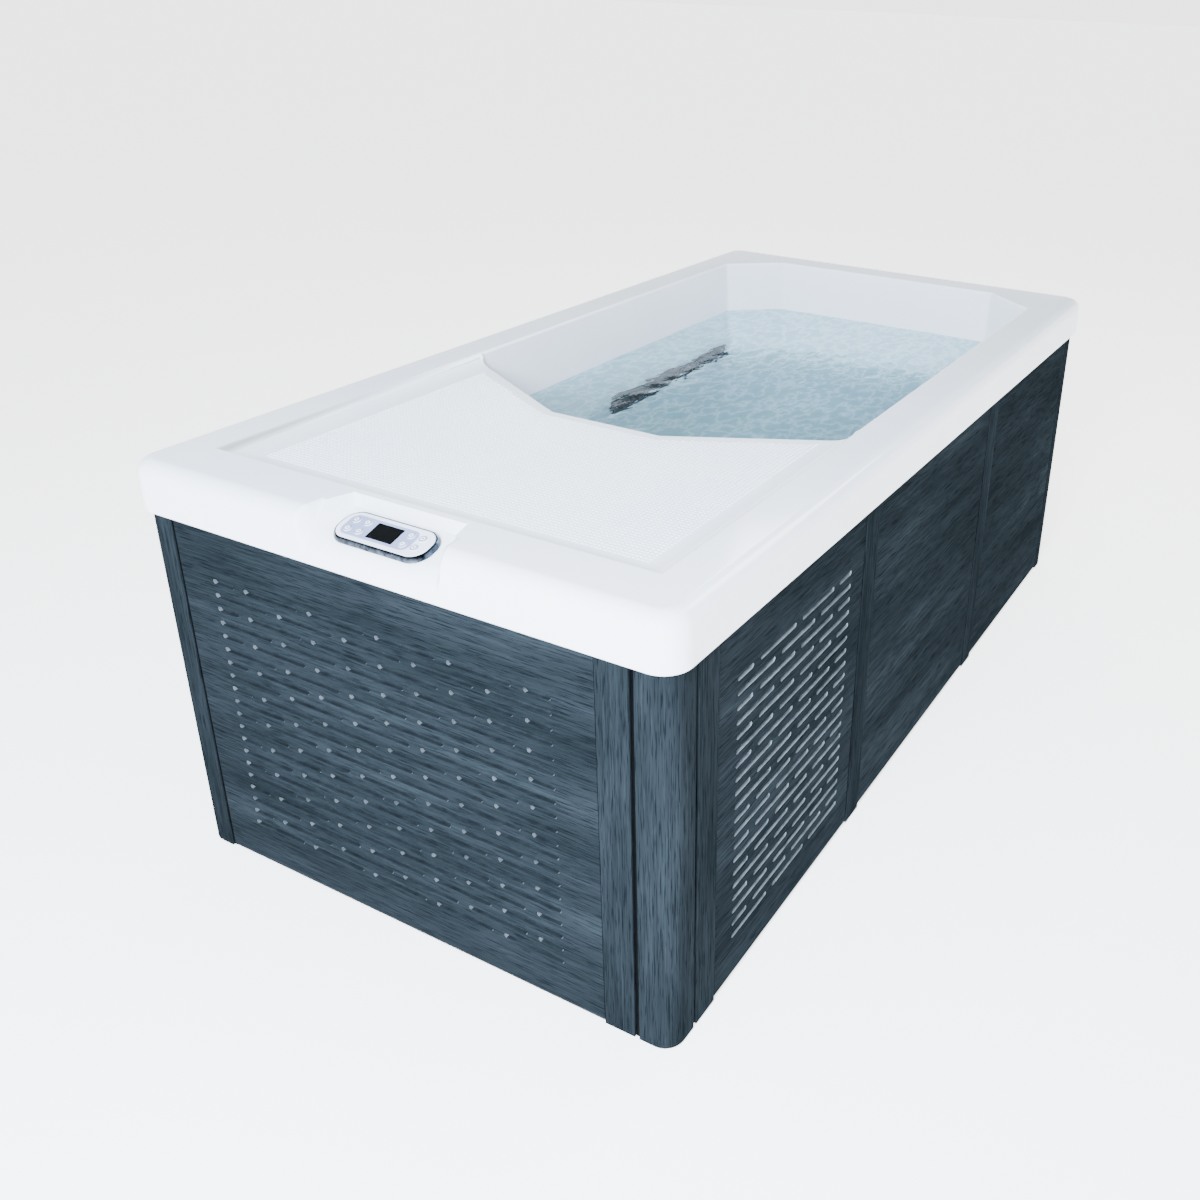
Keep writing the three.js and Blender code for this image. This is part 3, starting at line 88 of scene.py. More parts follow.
def make_camera():
    flat = math.cos(CAMERA_PITCH)
    back = Vector((math.sin(CAMERA_YAW) * flat, -math.cos(CAMERA_YAW) * flat, math.sin(CAMERA_PITCH)))
    level = Vector((0, 0, 1)).cross(back).normalized()
    rise = back.cross(level)
    right = level * math.cos(CAMERA_ROLL) + rise * math.sin(CAMERA_ROLL)
    up = rise * math.cos(CAMERA_ROLL) - level * math.sin(CAMERA_ROLL)
    lens = bpy.data.cameras.new("portrait_lens")
    lens.sensor_width = 36
    lens.lens = CAMERA_LENS
    lens.shift_x, lens.shift_y = CAMERA_SHIFT
    camera = add_object("portrait_camera", lens)
    camera.matrix_world = Matrix.Translation(CAMERA_PLACE) @ Matrix((right, up, back)).transposed().to_4x4()
    bpy.context.scene.camera = camera
    return camera


print("camera:", make_camera().name)

# %% [markdown]
# Every finish below is a node tree, so one small function that adds a node, sets it and links it keeps
# the recipes short. Colours are written as the sRGB hex values that a paint chart gives, and the shader
# wants linear light, so one function converts them.

# %% Node and colour helpers
def node(tree, kind, inputs=None, **settings):
    made = tree.nodes.new(kind)
    for name, value in settings.items():
        setattr(made, name, value)
    for name, value in (inputs or {}).items():
        if isinstance(value, bpy.types.NodeSocket):
            tree.links.new(value, made.inputs[name])
        else:
            made.inputs[name].default_value = value
    return made


def linear(hex_code):
    channels = [int(hex_code[i:i + 2], 16) / 255 for i in (1, 3, 5)]
    return [c / 12.92 if c <= 0.04045 else ((c + 0.055) / 1.055) ** 2.4 for c in channels] + [1]


def new_material(name, specular=0.5, **constants):
    material = bpy.data.materials.new(name)
    material.use_nodes = True
    tree = material.node_tree
    tree.nodes.clear()
    shader = node(tree, "ShaderNodeBsdfPrincipled", {"Specular IOR Level": specular, **constants})
    node(tree, "ShaderNodeOutputMaterial", {"Surface": shader.outputs[0]})
    return material, tree, shader


def arithmetic(tree, operation, a, b=0.0):
    return node(tree, "ShaderNodeMath", {0: a, 1: b}, operation=operation).outputs[0]


def pattern(tree, size_mm, detail=3.0, roughness=0.55):
    """Noise whose grains measure size_mm (x, y, z) on the real object."""
    place = node(tree, "ShaderNodeTexCoord").outputs["Object"]
    scale = [1 / (size * MM) for size in size_mm]
    mapped = node(tree, "ShaderNodeMapping", {"Vector": place, "Scale": scale})
    grain = node(tree, "ShaderNodeTexNoise",
                 {"Vector": mapped.outputs[0], "Scale": 1.0, "Detail": detail, "Roughness": roughness})
    return grain.outputs["Fac"]


def ramp(tree, fac, *stops):
    made = node(tree, "ShaderNodeValToRGB", {"Fac": fac})
    while len(made.color_ramp.elements) < len(stops):
        made.color_ramp.elements.new(0.5)
    for element, (position, hex_code) in zip(made.color_ramp.elements, stops):
        element.position = position
        element.color = linear(hex_code)
    return made.outputs["Color"]


def spread(tree, fac, low, high, from_low=0.3, from_high=0.7):
    made = node(tree, "ShaderNodeMapRange", {"Value": fac, "From Min": from_low, "From Max": from_high,
                                             "To Min": low, "To Max": high})
    return made.outputs[0]


def raise_grain(tree, shader, height, depth_mm, strength=1.0):
    bump = node(tree, "ShaderNodeBump", {"Height": height, "Distance": depth_mm * MM, "Strength": strength})
    tree.links.new(bump.outputs[0], shader.inputs["Normal"])


print("helpers ready")

# %% [markdown]
# Most of the small pieces are moulded, cast, drawn or plated in one colour. Even those are never one flat
# tone: a moulding drifts a little in shade, its gloss varies, and its skin has a faint grain. One recipe
# covers them all, with the two shades, the size of the drift and the depth of the skin as its arguments.

# %% Plain finishes
def plain_finish(name, dark, light, drift_mm, gloss, skin_mm, skin_depth_mm, metallic=0.0, **constants):
    material, tree, shader = new_material(name, Metallic=metallic, **constants)
    drift = pattern(tree, (drift_mm,) * 3)
    skin = pattern(tree, (skin_mm,) * 3, detail=1.0)
    tree.links.new(ramp(tree, drift, (0.3, dark), (0.7, light)), shader.inputs["Base Color"])
    tree.links.new(spread(tree, drift, gloss * 0.8, gloss * 1.2), shader.inputs["Roughness"])
    raise_grain(tree, shader, skin, skin_depth_mm)
    return material


# Moulded white acrylic: a deep gloss with an orange-peel skin that is felt more than seen
acrylic = plain_finish("moulded_white_acrylic", "#e9eff6", "#f4f8fc", 400, 0.13, 30, 0.02, IOR=1.49)
# Routed board core: the pale grey foam that shows where the slots are cut through the skin
board_core = plain_finish("foamed_board_core", "#5c6468", "#868e92", 30, 0.7, 2, 0.15)
# Painted light at the round slot ends of the end board: a copy of the core a little darker than the side
# board's, pale against the painted shade of the long walls
slot_end_light = plain_finish("core_with_painted_light_at_slot_ends", "#454d51", "#697175", 30, 0.7, 2, 0.15)
# The same core painted darker as shade, for the liner behind the side board's slots
shaded_core = plain_finish("foamed_core_in_shade", "#2c3235", "#434a4d", 30, 0.75, 2, 0.15)
# Painted shade in the end board's slots: slate on their long walls and on the liner behind them
slot_shade = plain_finish("painted_slot_shade", "#1b2124", "#293034", 25, 0.7, 2, 0.1, specular=0.04)
# Painted shade in the grooves: near black on the lips at the bottom of the grooves and on the outer faces of
# the frame behind them
groove_shade = plain_finish("painted_groove_shade", "#020304", "#050708", 25, 0.8, 2, 0.1, specular=0.04)
# Smoked chrome plating over plastic, darker than bright chrome, with soft bands where it was polished
smoked_chrome = plain_finish("smoked_chrome_plating", "#0a0e14", "#5f6b7a", 11, 0.14, 25, 0.01, metallic=1.0)
# Bright chrome plating on the drain
chrome = plain_finish("bright_chrome_plating", "#c4c8cc", "#e0e3e6", 60, 0.08, 25, 0.01, metallic=1.0)
# Satin white ABS of the panel face and the fittings
white_abs = plain_finish("satin_white_abs", "#d3dae6", "#e2e7f0", 80, 0.32, 1.5, 0.02)
# Printed lavender-grey film behind the keys
key_film = plain_finish("lavender_key_film", "#7f8aae", "#8f99ba", 40, 0.4, 1.2, 0.01)
# Satin keys, ringed in the colour of the film and pale in the middle
key_plastic = plain_finish("satin_key_plastic", "#dde1ea", "#eceef3", 20, 0.38, 1.2, 0.02)
# Printed rings and marks on the keys
key_mark = plain_finish("key_mark_print", "#5a6484", "#6f7896", 10, 0.45, 1.0, 0.005)
# Smoked display window, off
display_glass = plain_finish("smoked_display_window", "#010102", "#040506", 15, 0.2, 20, 0.005, specular=0.12)
# Dark grey moulded plastic under water and in the machine bay
slate_plastic = plain_finish("slate_grey_plastic", "#06090b", "#101619", 40, 0.5, 2, 0.05)
# Black vacuum-formed base pan
pan_plastic = plain_finish("black_formed_pan", "#15171a", "#24282b", 90, 0.6, 3, 0.2)
# Hot-dip galvanised tube: a grey spangle of zinc crystals
galvanised = plain_finish("galvanised_steel", "#868d92", "#a9b0b4", 12, 0.42, 6, 0.05, metallic=0.9)
# Rigid foam block
foam_block = plain_finish("rigid_foam", "#cbc5b3", "#e0dbcb", 15, 0.9, 4, 0.4)
# Black paint on the motor, pump and compressor castings
black_paint = plain_finish("satin_black_paint", "#0e1012", "#1d2023", 50, 0.4, 1.5, 0.04)
# Aluminium fin stock
fin_stock = plain_finish("aluminium_fin_stock", "#a3a9ad", "#c3c8cb", 30, 0.35, 3, 0.03, metallic=0.95)
# White PVC pipe
pipe_pvc = plain_finish("white_pvc_pipe", "#d8dbdb", "#e9ebeb", 120, 0.38, 10, 0.03)
# Copper refrigerant tube with patches of handling tarnish
copper = plain_finish("drawn_copper_tube", "#8c4f2e", "#c07a4e", 25, 0.3, 4, 0.03, metallic=1.0)
# Dipped red grip
red_grip = plain_finish("dipped_red_vinyl", "#861b17", "#b02a22", 25, 0.5, 1.5, 0.05)
# Pleated filter paper
filter_paper = plain_finish("pleated_filter_paper", "#dcdcd6", "#efefea", 8, 0.85, 2, 0.3)
print("plain finishes:", len(bpy.data.materials))

# %% [markdown]
# The skirt is a foamed plastic board with an embossed wood-grain skin, printed slate blue-grey. Three
# patterns make it: broad bands where the print is lighter or darker, long streaks of grain, and short dark
# pores. The pores of the real skin are under a millimetre wide and would vanish in the picture, so they
# are drawn about three times as coarse. The grain runs along the panels and up the posts and stiles, so
# the recipe takes the direction as an argument.

# %% Wood-grain skin
BAND_MM = (480, 60)
STREAK_MM = (150, 3.4)
PORE_MM = (50, 1.8)
PORE_SHADE = 0.75
PORE_BAND = (0.36, 0.46)
SKIN_ROUGHNESS = (0.38, 0.58)
EMBOSS_MM = 0.5
EMBOSS_STRENGTH = 0.7


def grain_size(along_and_across, axis):
    along, across = along_and_across
    return [along if letter == axis else across for letter in "xyz"]


def wood_grain(name, axis):
    material, tree, shader = new_material(name, specular=0.0)
    bands = pattern(tree, grain_size(BAND_MM, axis), detail=2.0)
    streaks = pattern(tree, grain_size(STREAK_MM, axis), detail=5.0, roughness=0.62)
    pores = pattern(tree, grain_size(PORE_MM, axis), detail=2.0)
    half = arithmetic(tree, "MULTIPLY", arithmetic(tree, "ADD", bands, streaks), 0.5)
    body = ramp(tree, half, (0.32, "#12171a"), (0.45, "#1a2023"), (0.56, "#20262a"), (0.70, "#2a3236"))
    pits = spread(tree, pores, PORE_SHADE, 0.0, *PORE_BAND)
    skin = node(tree, "ShaderNodeMix", {0: pits, 6: body, 7: linear("#070c0f")}, data_type="RGBA")
    tree.links.new(skin.outputs[2], shader.inputs["Base Color"])
    tree.links.new(spread(tree, streaks, *SKIN_ROUGHNESS), shader.inputs["Roughness"])
    raise_grain(tree, shader, arithmetic(tree, "SUBTRACT", streaks, pits), EMBOSS_MM, EMBOSS_STRENGTH)
    return material


grain_x = wood_grain("slate_wood_grain_across_ends", "x")
grain_y = wood_grain("slate_wood_grain_along_sides", "y")
grain_z = wood_grain("slate_wood_grain_upright", "z")
print("wood grain:", grain_x.name, grain_y.name, grain_z.name)

# %% [markdown]
# The water is clear with a cold aqua cast, and the pump keeps its surface moving. Thin pale lines along the
# ripples are painted into its colour as highlights. Real refraction is worth having here, because it lifts
# and bends the dark suction grille under the surface.

# %% Water finish
RIPPLE_MM = (30, 56, 40)
RIPPLE_DEPTH_MM = 5.0
RIPPLE_STRENGTH = 0.35


def water_finish():
    material, tree, shader = new_material(
        "cold_clear_water", IOR=1.333, Roughness=0.02,
        **{"Transmission Weight": 1.0, "Specular Tint": linear("#c8ced2")})
    ripple = pattern(tree, RIPPLE_MM, detail=2.0)
    crest = arithmetic(tree, "ABSOLUTE", arithmetic(tree, "SUBTRACT", ripple, 0.5))
    # Thin pale lines along the ripples: a painted highlight in the water's colour
    crest_highlight = ramp(tree, crest, (0.0, "#a6d4d9"), (0.03, "#82b8c0"), (0.08, "#69a3ac"), (0.2, "#5e99a3"))
    tree.links.new(crest_highlight, shader.inputs["Base Color"])
    raise_grain(tree, shader, ripple, RIPPLE_DEPTH_MM, RIPPLE_STRENGTH)
    return material


water = water_finish()
print("water:", water.name)

# %% [markdown]
# A few tools shape the pieces. A ring is a closed outline with rounded corners, and a piece of sheet or a
# moulding is a stack of rings with faces between them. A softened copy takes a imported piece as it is,
# welds its loose triangles and rounds its sharp edges by the small radius a moulded or rolled edge has.

# %% Shaping helpers
WELD = 0.00002
CREASE = math.radians(35)
FLAT = math.radians(0.5)


def finish_mesh(name, work, *materials):
    for face in work.faces:
        face.smooth = True
    mesh = bpy.data.meshes.new(name)
    work.to_mesh(mesh)
    work.free()
    for material in materials:
        mesh.materials.append(material)
    return mesh


def add_piece(mesh, body, slot, *stands_for):
    piece = add_object(mesh.name, mesh)
    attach(piece, body)
    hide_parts(*stands_for)
    return piece


def round_edges(work, rounding, segments=2):
    sharp = [edge for edge in work.edges if edge.is_manifold and edge.calc_face_angle() > CREASE]
    bmesh.ops.bevel(work, geom=sharp, offset=rounding, segments=segments, profile=0.5,
                    affect="EDGES", clamp_overlap=True)


def keep_flats(piece):
    """Large flat faces keep their own normals, and only the rounded edges shade across."""
    weighted = piece.modifiers.new("flat_faces_stay_flat", "WEIGHTED_NORMAL")
    weighted.keep_sharp = True


def softened(node_name, material, slot, rounding_mm, body="tub"):
    work = bmesh.new()
    work.from_mesh(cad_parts[node_name].data)
    bmesh.ops.remove_doubles(work, verts=work.verts, dist=WELD)
    bmesh.ops.dissolve_limit(work, angle_limit=FLAT, verts=work.verts, edges=work.edges)
    round_edges(work, rounding_mm * MM)
    mesh = finish_mesh(node_name + "_finished", work, material)
    piece = add_piece(mesh, body, slot, node_name)
    keep_flats(piece)
    return piece


def rounded_ring(corners, radius, arc_steps, cuts=None):
    """Points round a polygon with rounded corners. cuts gives extra points along numbered sides."""
    ring = []
    for i, corner in enumerate(corners):
        ahead = corners[(i + 1) % len(corners)]
        to_before = (corners[i - 1] - corner).normalized()
        to_ahead = (ahead - corner).normalized()
        half = to_before.angle(to_ahead) / 2
        centre = corner + (to_before + to_ahead).normalized() * (radius / math.sin(half))
        start = corner + to_before * (radius / math.tan(half)) - centre
        end = corner + to_ahead * (radius / math.tan(half)) - centre
        for step in range(arc_steps + 1):
            ring.append(centre + start.slerp(end, step / arc_steps) * radius)
        for share in (cuts or {}).get(i, ()):
            ring.append(corner.lerp(ahead, share))
    return ring


def rectangle(half_width, half_length):
    return [Vector((-half_width, -half_length)), Vector((half_width, -half_length)),
            Vector((half_width, half_length)), Vector((-half_width, half_length))]


def add_ring(work, points):
    return [work.verts.new(point) for point in points]


def add_level(work, ring, height):
    return add_ring(work, [(p.x, p.y, height) for p in ring])


def quarter_turn(steps):
    """Equal steps from 0 to 90 degrees."""
    return [step / steps * math.pi / 2 for step in range(steps + 1)]


def bridge(work, lower, upper, skip=None):
    count = len(lower)
    for i in range(count):
        k = (i + 1) % count
        corners = [lower[i], lower[k], upper[k], upper[i]]
        middle = sum((v.co for v in corners), Vector()) / 4
        if skip is None or not skip(middle):
            work.faces.new(corners)


print("shaping helpers ready")

# %% [markdown]
# The shell is one vacuum-formed sheet: a rim with a rolled apron, a deck let into it with a coved edge, the
# octagonal well, and a sloping notch for the control panel. A boolean of plain solids leaves knife edges
# that no formed sheet has. So the top is treated as the forming tool sees it, as one height for every
# point of the plan: rim, cove, deck or notch.

# %% Heights of the formed top
SHELL_WALL = 8 * MM
APRON = 88 * MM
RIM_CORNER = 45 * MM
RIM_FILLET = 26 * MM
RIM_SIDE = 93 * MM
RIM_FRONT = 111 * MM
RIM_REAR = 99 * MM
DECK_DEPTH = 20 * MM
DECK_COVE = 42 * MM
WELL_LENGTH = 1305 * MM
WELL_FLOOR = 120 * MM
WELL_DRAFT = 25 * MM
FLOOR_COVE = 60 * MM
FRONT_CHAMFER = Vector((309 * MM, 165 * MM))
REAR_CHAMFER = Vector((125 * MM, 106 * MM))
EDGE_ROUND = 6 * MM
NOTCH_DROP = 44 * MM
NOTCH_DEPTH = 86 * MM
NOTCH_TILT = math.radians(17)
NOTCH_SLOPE = math.tan(NOTCH_TILT)
NOTCH_FRONT_HALF = 130 * MM
NOTCH_REAR_HALF = 102 * MM
NOTCH_SIDE_RUN = 9 * MM
NOTCH_REAR_RUN = 6 * MM
NOTCH_TAPER = (NOTCH_FRONT_HALF - NOTCH_REAR_HALF) / NOTCH_DEPTH
# Where the notch wall starts and stops climbing, as shares of its run
NOTCH_FOOT = -0.3
NOTCH_CREST = 1.1

RIM = cad_high.z
HALF_WIDTH = cad_high.x
HALF_LENGTH = cad_high.y
WELL_HALF = HALF_WIDTH - RIM_SIDE
WELL_REAR = HALF_LENGTH - RIM_REAR
WELL_FRONT = WELL_REAR - WELL_LENGTH
WELL_SIDE_FRONT = WELL_FRONT + FRONT_CHAMFER.y
DECK_FRONT = RIM_FRONT - HALF_LENGTH
DECK = RIM - DECK_DEPTH


def recess_drop(inside):
    """How far the deck recess falls below the rim, at a distance inside its outline."""
    if inside <= -EDGE_ROUND:
        return 0.0
    if inside <= 0:
        return EDGE_ROUND - math.sqrt(max(0.0, EDGE_ROUND ** 2 - (inside + EDGE_ROUND) ** 2))
    along = min(1.0, inside / DECK_COVE)
    return EDGE_ROUND + (DECK_DEPTH - EDGE_ROUND) * math.sqrt(1 - (1 - along) ** 2)


def notch_floor(y):
    return RIM - NOTCH_DROP + (y + HALF_LENGTH) * NOTCH_SLOPE


def notch_height(x, y):
    side = (abs(x) - NOTCH_FRONT_HALF + (y + HALF_LENGTH) * NOTCH_TAPER) / NOTCH_SIDE_RUN
    rear = (y + HALF_LENGTH - NOTCH_DEPTH) / NOTCH_REAR_RUN
    climbs = [max(run - NOTCH_FOOT, 0) / (NOTCH_CREST - NOTCH_FOOT) for run in (side, rear)]
    eased = min(1.0, (climbs[0] ** 4 + climbs[1] ** 4) ** 0.25) ** 2
    floor = min(notch_floor(y), RIM)
    return floor + (RIM - floor) * eased


def top_height(x, y):
    if y > WELL_SIDE_FRONT + EDGE_ROUND:
        return RIM
    inside = min(WELL_HALF - abs(x), y - DECK_FRONT)
    return min(RIM - recess_drop(inside), notch_height(x, y))


print("deck height:", round(top_height(0, -0.6), 4), "notch height:", round(top_height(0, -0.97), 4))

# %% [markdown]
# The well narrows a little towards its floor, as every formed tub must to leave its mould, and a generous
# cove joins wall and floor. Each level of it is the same octagon, moved inwards.

# %% Outline of the well
WELL_CORNER = 16 * MM
ARC_STEPS = 5
DECK_COVE_CUTS = 8
# The first cuts of the deck's cove lie within the rounded corner of the well
CUTS_IN_CORNER = 3
DRAFT_SLOPE = WELL_DRAFT / (RIM - WELL_FLOOR)
grille_low, grille_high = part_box("suction_grille")
OPENING_INSET = 16 * MM
opening_rear = grille_high.y - OPENING_INSET
opening_front = grille_low.y + OPENING_INSET
opening_top = grille_high.z - OPENING_INSET
opening_bottom = grille_low.z + OPENING_INSET


def well_corners(inset):
    front = WELL_HALF - FRONT_CHAMFER.x
    rear = WELL_HALF - REAR_CHAMFER.x
    rear_side = WELL_REAR - REAR_CHAMFER.y
    corners = [Vector(place) for place in (
        (-front, WELL_FRONT), (front, WELL_FRONT), (WELL_HALF, WELL_SIDE_FRONT), (WELL_HALF, rear_side),
        (rear, WELL_REAR), (-rear, WELL_REAR), (-WELL_HALF, rear_side), (-WELL_HALF, WELL_SIDE_FRONT))]
    moved = []
    for i, corner in enumerate(corners):
        before = (corner - corners[i - 1]).normalized()
        after = (corners[(i + 1) % len(corners)] - corner).normalized()
        inward = Vector((-before.y, before.x)) + Vector((-after.y, after.x))
        moved.append(corner + inward * (inset / (1 + before.dot(after))))
    return moved


cove_steps = [DECK_COVE * (1 - math.sin(math.radians(90 - 90 / DECK_COVE_CUTS * i)))
              for i in range(DECK_COVE_CUTS + 1)]
chamfer_cuts = [1 - inside / FRONT_CHAMFER.x for inside in cove_steps[CUTS_IN_CORNER:]]
side_length = WELL_REAR - REAR_CHAMFER.y - WELL_SIDE_FRONT
side_cuts = [(WELL_REAR - REAR_CHAMFER.y - place) / side_length for place in (opening_rear, opening_front)]
WELL_CUTS = {1: chamfer_cuts[::-1], 6: side_cuts, 7: [1 - share for share in chamfer_cuts]}


def well_ring(inset):
    return rounded_ring(well_corners(inset), WELL_CORNER, ARC_STEPS, WELL_CUTS)


print("points round the well:", len(well_ring(0)))

# %% [markdown]
# The flat of the rim, the coved deck and the notch lie between two closed outlines: the inner end of the
# rim's rolled edge and the outer end of the well's rounded edge. A constrained triangulation fills that
# region along the lines where the surface bends, and each point then takes its height.

# %% Fill the top
RIM_ARC_STEPS = 8
NOTCH_PITCH = 4 * MM
NOTCH_REACH = 164 * MM
SUPPORT = 3 * MM
# Lines along the rounded edge of the deck recess, as shares of its radius
EDGE_SHARES = (1, 0.6, 0.2)
PLAN_TOLERANCE = 1e-7
front_cuts = [(-NOTCH_REACH + i * NOTCH_PITCH + HALF_WIDTH) / (2 * HALF_WIDTH)
              for i in range(round(2 * NOTCH_REACH / NOTCH_PITCH) + 1)]


def rim_ring(inset):
    corners = rectangle(HALF_WIDTH - inset, HALF_LENGTH - inset)
    return rounded_ring(corners, RIM_CORNER - inset, RIM_ARC_STEPS, {0: front_cuts})


def holds(ring, point):
    """Whether a point lies inside a closed ring."""
    inside = False
    for i, b in enumerate(ring):
        a = ring[i - 1]
        if (a.y > point.y) != (b.y > point.y):
            if point.x < a.x + (point.y - a.y) / (b.y - a.y) * (b.x - a.x):
                inside = not inside
    return inside


class Plan:
    """Points and lines of the plan, gathered for the triangulation."""

    def __init__(self):
        self.points = []
        self.lines = []

    def add_line(self, points, closed=False):
        start = len(self.points)
        self.points.extend(points)
        count = len(points)
        self.lines.extend((start + i, start + i + 1) for i in range(count - 1))
        if closed:
            self.lines.append((start + count - 1, start))


def nearest(ring, place):
    return min(ring, key=lambda point: (point - place).length)


def recess_line(inside, well_edge):
    half = WELL_HALF - inside
    front = DECK_FRONT + inside
    end = WELL_SIDE_FRONT - inside * FRONT_CHAMFER.y / FRONT_CHAMFER.x
    return [nearest(well_edge, Vector((-half, end))), Vector((-half, front)),
            Vector((half, front)), nearest(well_edge, Vector((half, end)))]


def notch_line(level, front):
    """A line along the notch wall, from the front edge round the back: its foot, or its crest."""
    back = NOTCH_DEPTH - HALF_LENGTH + level * NOTCH_REAR_RUN
    widest = NOTCH_FRONT_HALF + level * NOTCH_SIDE_RUN
    front_half = widest - (front + HALF_LENGTH) * NOTCH_TAPER
    back_half = widest - (back + HALF_LENGTH) * NOTCH_TAPER
    return [Vector((-front_half, front)), Vector((-back_half, back)),
            Vector((back_half, back)), Vector((front_half, front))]


def fill_top(rim_edge, well_edge):
    plan = Plan()
    plan.add_line(rim_edge, closed=True)
    plan.add_line(well_edge, closed=True)
    rounded = [-share * EDGE_ROUND for share in EDGE_SHARES]
    for inside in [-EDGE_ROUND - SUPPORT] + rounded + cove_steps + [DECK_COVE + SUPPORT]:
        plan.add_line(recess_line(inside, well_edge))
    rear = DECK_FRONT - EDGE_ROUND - 2 * SUPPORT
    front = rim_edge[0].y + NOTCH_PITCH
    for level in (NOTCH_FOOT, NOTCH_CREST):
        plan.add_line(notch_line(level, front))
    rows = int((rear - front) / NOTCH_PITCH) + 1
    for row in range(rows):
        for share in front_cuts:
            plan.points.append(Vector(((2 * share - 1) * HALF_WIDTH, front + row * NOTCH_PITCH)))
    points, _, faces = delaunay_2d_cdt(plan.points, plan.lines, [], 0, PLAN_TOLERANCE)[:3]
    kept = []
    for face in faces:
        middle = sum((points[i] for i in face), Vector((0, 0))) / 3
        if holds(rim_edge, middle) and not holds(well_edge, middle):
            kept.append(face)
    return points, kept


print("points round the rim:", len(rim_ring(0)))

# %% [markdown]
# The rolled edge and the apron go outwards from that fill, and the well's walls go inwards and down. The
# sheet is then given its thickness, away from the side that shows.

# %% Build the shell
LIP = 4 * MM
# Heights of the rings down the well's wall, above the suction opening
WALL_LEVELS = (0.70, 0.55)
SEAM_WELD = 0.00005


def build_apron(work):
    rings = []
    for angle in reversed(quarter_turn(RIM_ARC_STEPS)):
        drop = RIM_FILLET * (1 - math.sin(angle))
        ring = rim_ring(RIM_FILLET * (1 - math.cos(angle)))
        rings.append(add_ring(work, [(p.x, p.y, top_height(p.x, p.y) - drop) for p in ring]))
    bottom = RIM - APRON
    for inset, height in ((0, bottom + LIP), (LIP * 0.3, bottom + LIP * 0.3), (LIP, bottom)):
        rings.append(add_level(work, rim_ring(inset), height))
    for upper, lower in zip(rings, rings[1:]):
        bridge(work, lower, upper)


def in_suction_opening(middle):
    return (middle.x < 0 and opening_front < middle.y < opening_rear
            and opening_bottom < middle.z < opening_top)


def build_well(work, well_edge):
    rings = []
    tops = [top_height(p.x, p.y) for p in well_edge]
    for angle in reversed(quarter_turn(ARC_STEPS)):
        fall = EDGE_ROUND * (1 - math.sin(angle))
        ring = well_ring(-EDGE_ROUND * (1 - math.cos(angle)))
        rings.append(add_ring(work, [(p.x, p.y, top - fall) for p, top in zip(ring, tops)]))
    cove_top = WELL_FLOOR + FLOOR_COVE
    for height in (*WALL_LEVELS, opening_top, opening_bottom, cove_top + SUPPORT):
        rings.append(add_level(work, well_ring((RIM - height) * DRAFT_SLOPE), height))
    for angle in quarter_turn(2 * ARC_STEPS):
        ring = well_ring((RIM - cove_top) * DRAFT_SLOPE + FLOOR_COVE * (1 - math.cos(angle)))
        rings.append(add_level(work, ring, cove_top - FLOOR_COVE * math.sin(angle)))
    for upper, lower in zip(rings, rings[1:]):
        bridge(work, lower, upper, in_suction_opening)
    work.faces.new(rings[-1])


def make_shell():
    work = bmesh.new()
    rim_edge = rim_ring(RIM_FILLET)
    well_edge = well_ring(-EDGE_ROUND)
    points, faces = fill_top(rim_edge, well_edge)
    top = add_ring(work, [(p.x, p.y, top_height(p.x, p.y)) for p in points])
    for face in faces:
        work.faces.new([top[i] for i in face])
    build_apron(work)
    build_well(work, well_edge)
    bmesh.ops.remove_doubles(work, verts=work.verts, dist=SEAM_WELD)
    loose = [vert for vert in work.verts if not vert.link_faces]
    bmesh.ops.delete(work, geom=loose, context="VERTS")
    bmesh.ops.recalc_face_normals(work, faces=work.faces)
    floor = min(work.faces, key=lambda face: face.calc_center_median().z)
    if floor.normal.z < 0:
        bmesh.ops.reverse_faces(work, faces=work.faces)
    open_edges = sum(1 for edge in work.edges if edge.is_boundary)
    print("shell faces:", len(work.faces), "open edges:", open_edges)
    mesh = finish_mesh("tub_shell_formed", work, acrylic)
    piece = add_piece(mesh, "tub", "white_acrylic", "tub_shell")
    wall = piece.modifiers.new("sheet_thickness", "SOLIDIFY")
    wall.thickness = SHELL_WALL
    wall.offset = -1
    keep_flats(piece)
    return piece


shell = make_shell()
print("shell:", shell.name)

# %% [markdown]
# Thousands of equal squares and rows of equal slots are work for Geometry Nodes. A few helpers keep those
# trees short: a tree with named inputs, the steps that come up again and again, and a way to run a tree and
# keep what it makes as a plain mesh.

# %% Helpers for repeated shapes
def new_tree(name, **sockets):
    """A tree with named inputs, listed by their kind."""
    tree = bpy.data.node_groups.new(name, "GeometryNodeTree")
    tree.interface.new_socket("Geometry", in_out="OUTPUT", socket_type="NodeSocketGeometry")
    for kind, labels in sockets.items():
        for label in labels:
            tree.interface.new_socket(label, in_out="INPUT", socket_type="NodeSocket" + kind)
    return tree, node(tree, "NodeGroupInput").outputs


def grow(tree, kind, inputs=None, **settings):
    return node(tree, "GeometryNode" + kind, inputs, **settings).outputs[0]


def axes(tree, field):
    return node(tree, "ShaderNodeSeparateXYZ", {0: grow(tree, field)}).outputs


def placed_grid(tree, width, height, columns, rows, middle):
    grid = grow(tree, "MeshGrid", {
        "Size X": width, "Size Y": height, "Vertices X": columns, "Vertices Y": rows})
    return grow(tree, "Transform", {"Geometry": grid, "Translation": middle})


def on_points(tree, points, shape):
    placed = grow(tree, "InstanceOnPoints", {"Points": points, "Instance": shape})
    return grow(tree, "RealizeInstances", {0: placed})


def paint(tree, shape, material, selection=True):
    return grow(tree, "SetMaterial", {"Geometry": shape, "Selection": selection, "Material": material})


def joined(tree, *parts):
    together = node(tree, "GeometryNodeJoinGeometry")
    for part in parts:
        tree.links.new(part, together.inputs[0])
    return together.outputs[0]


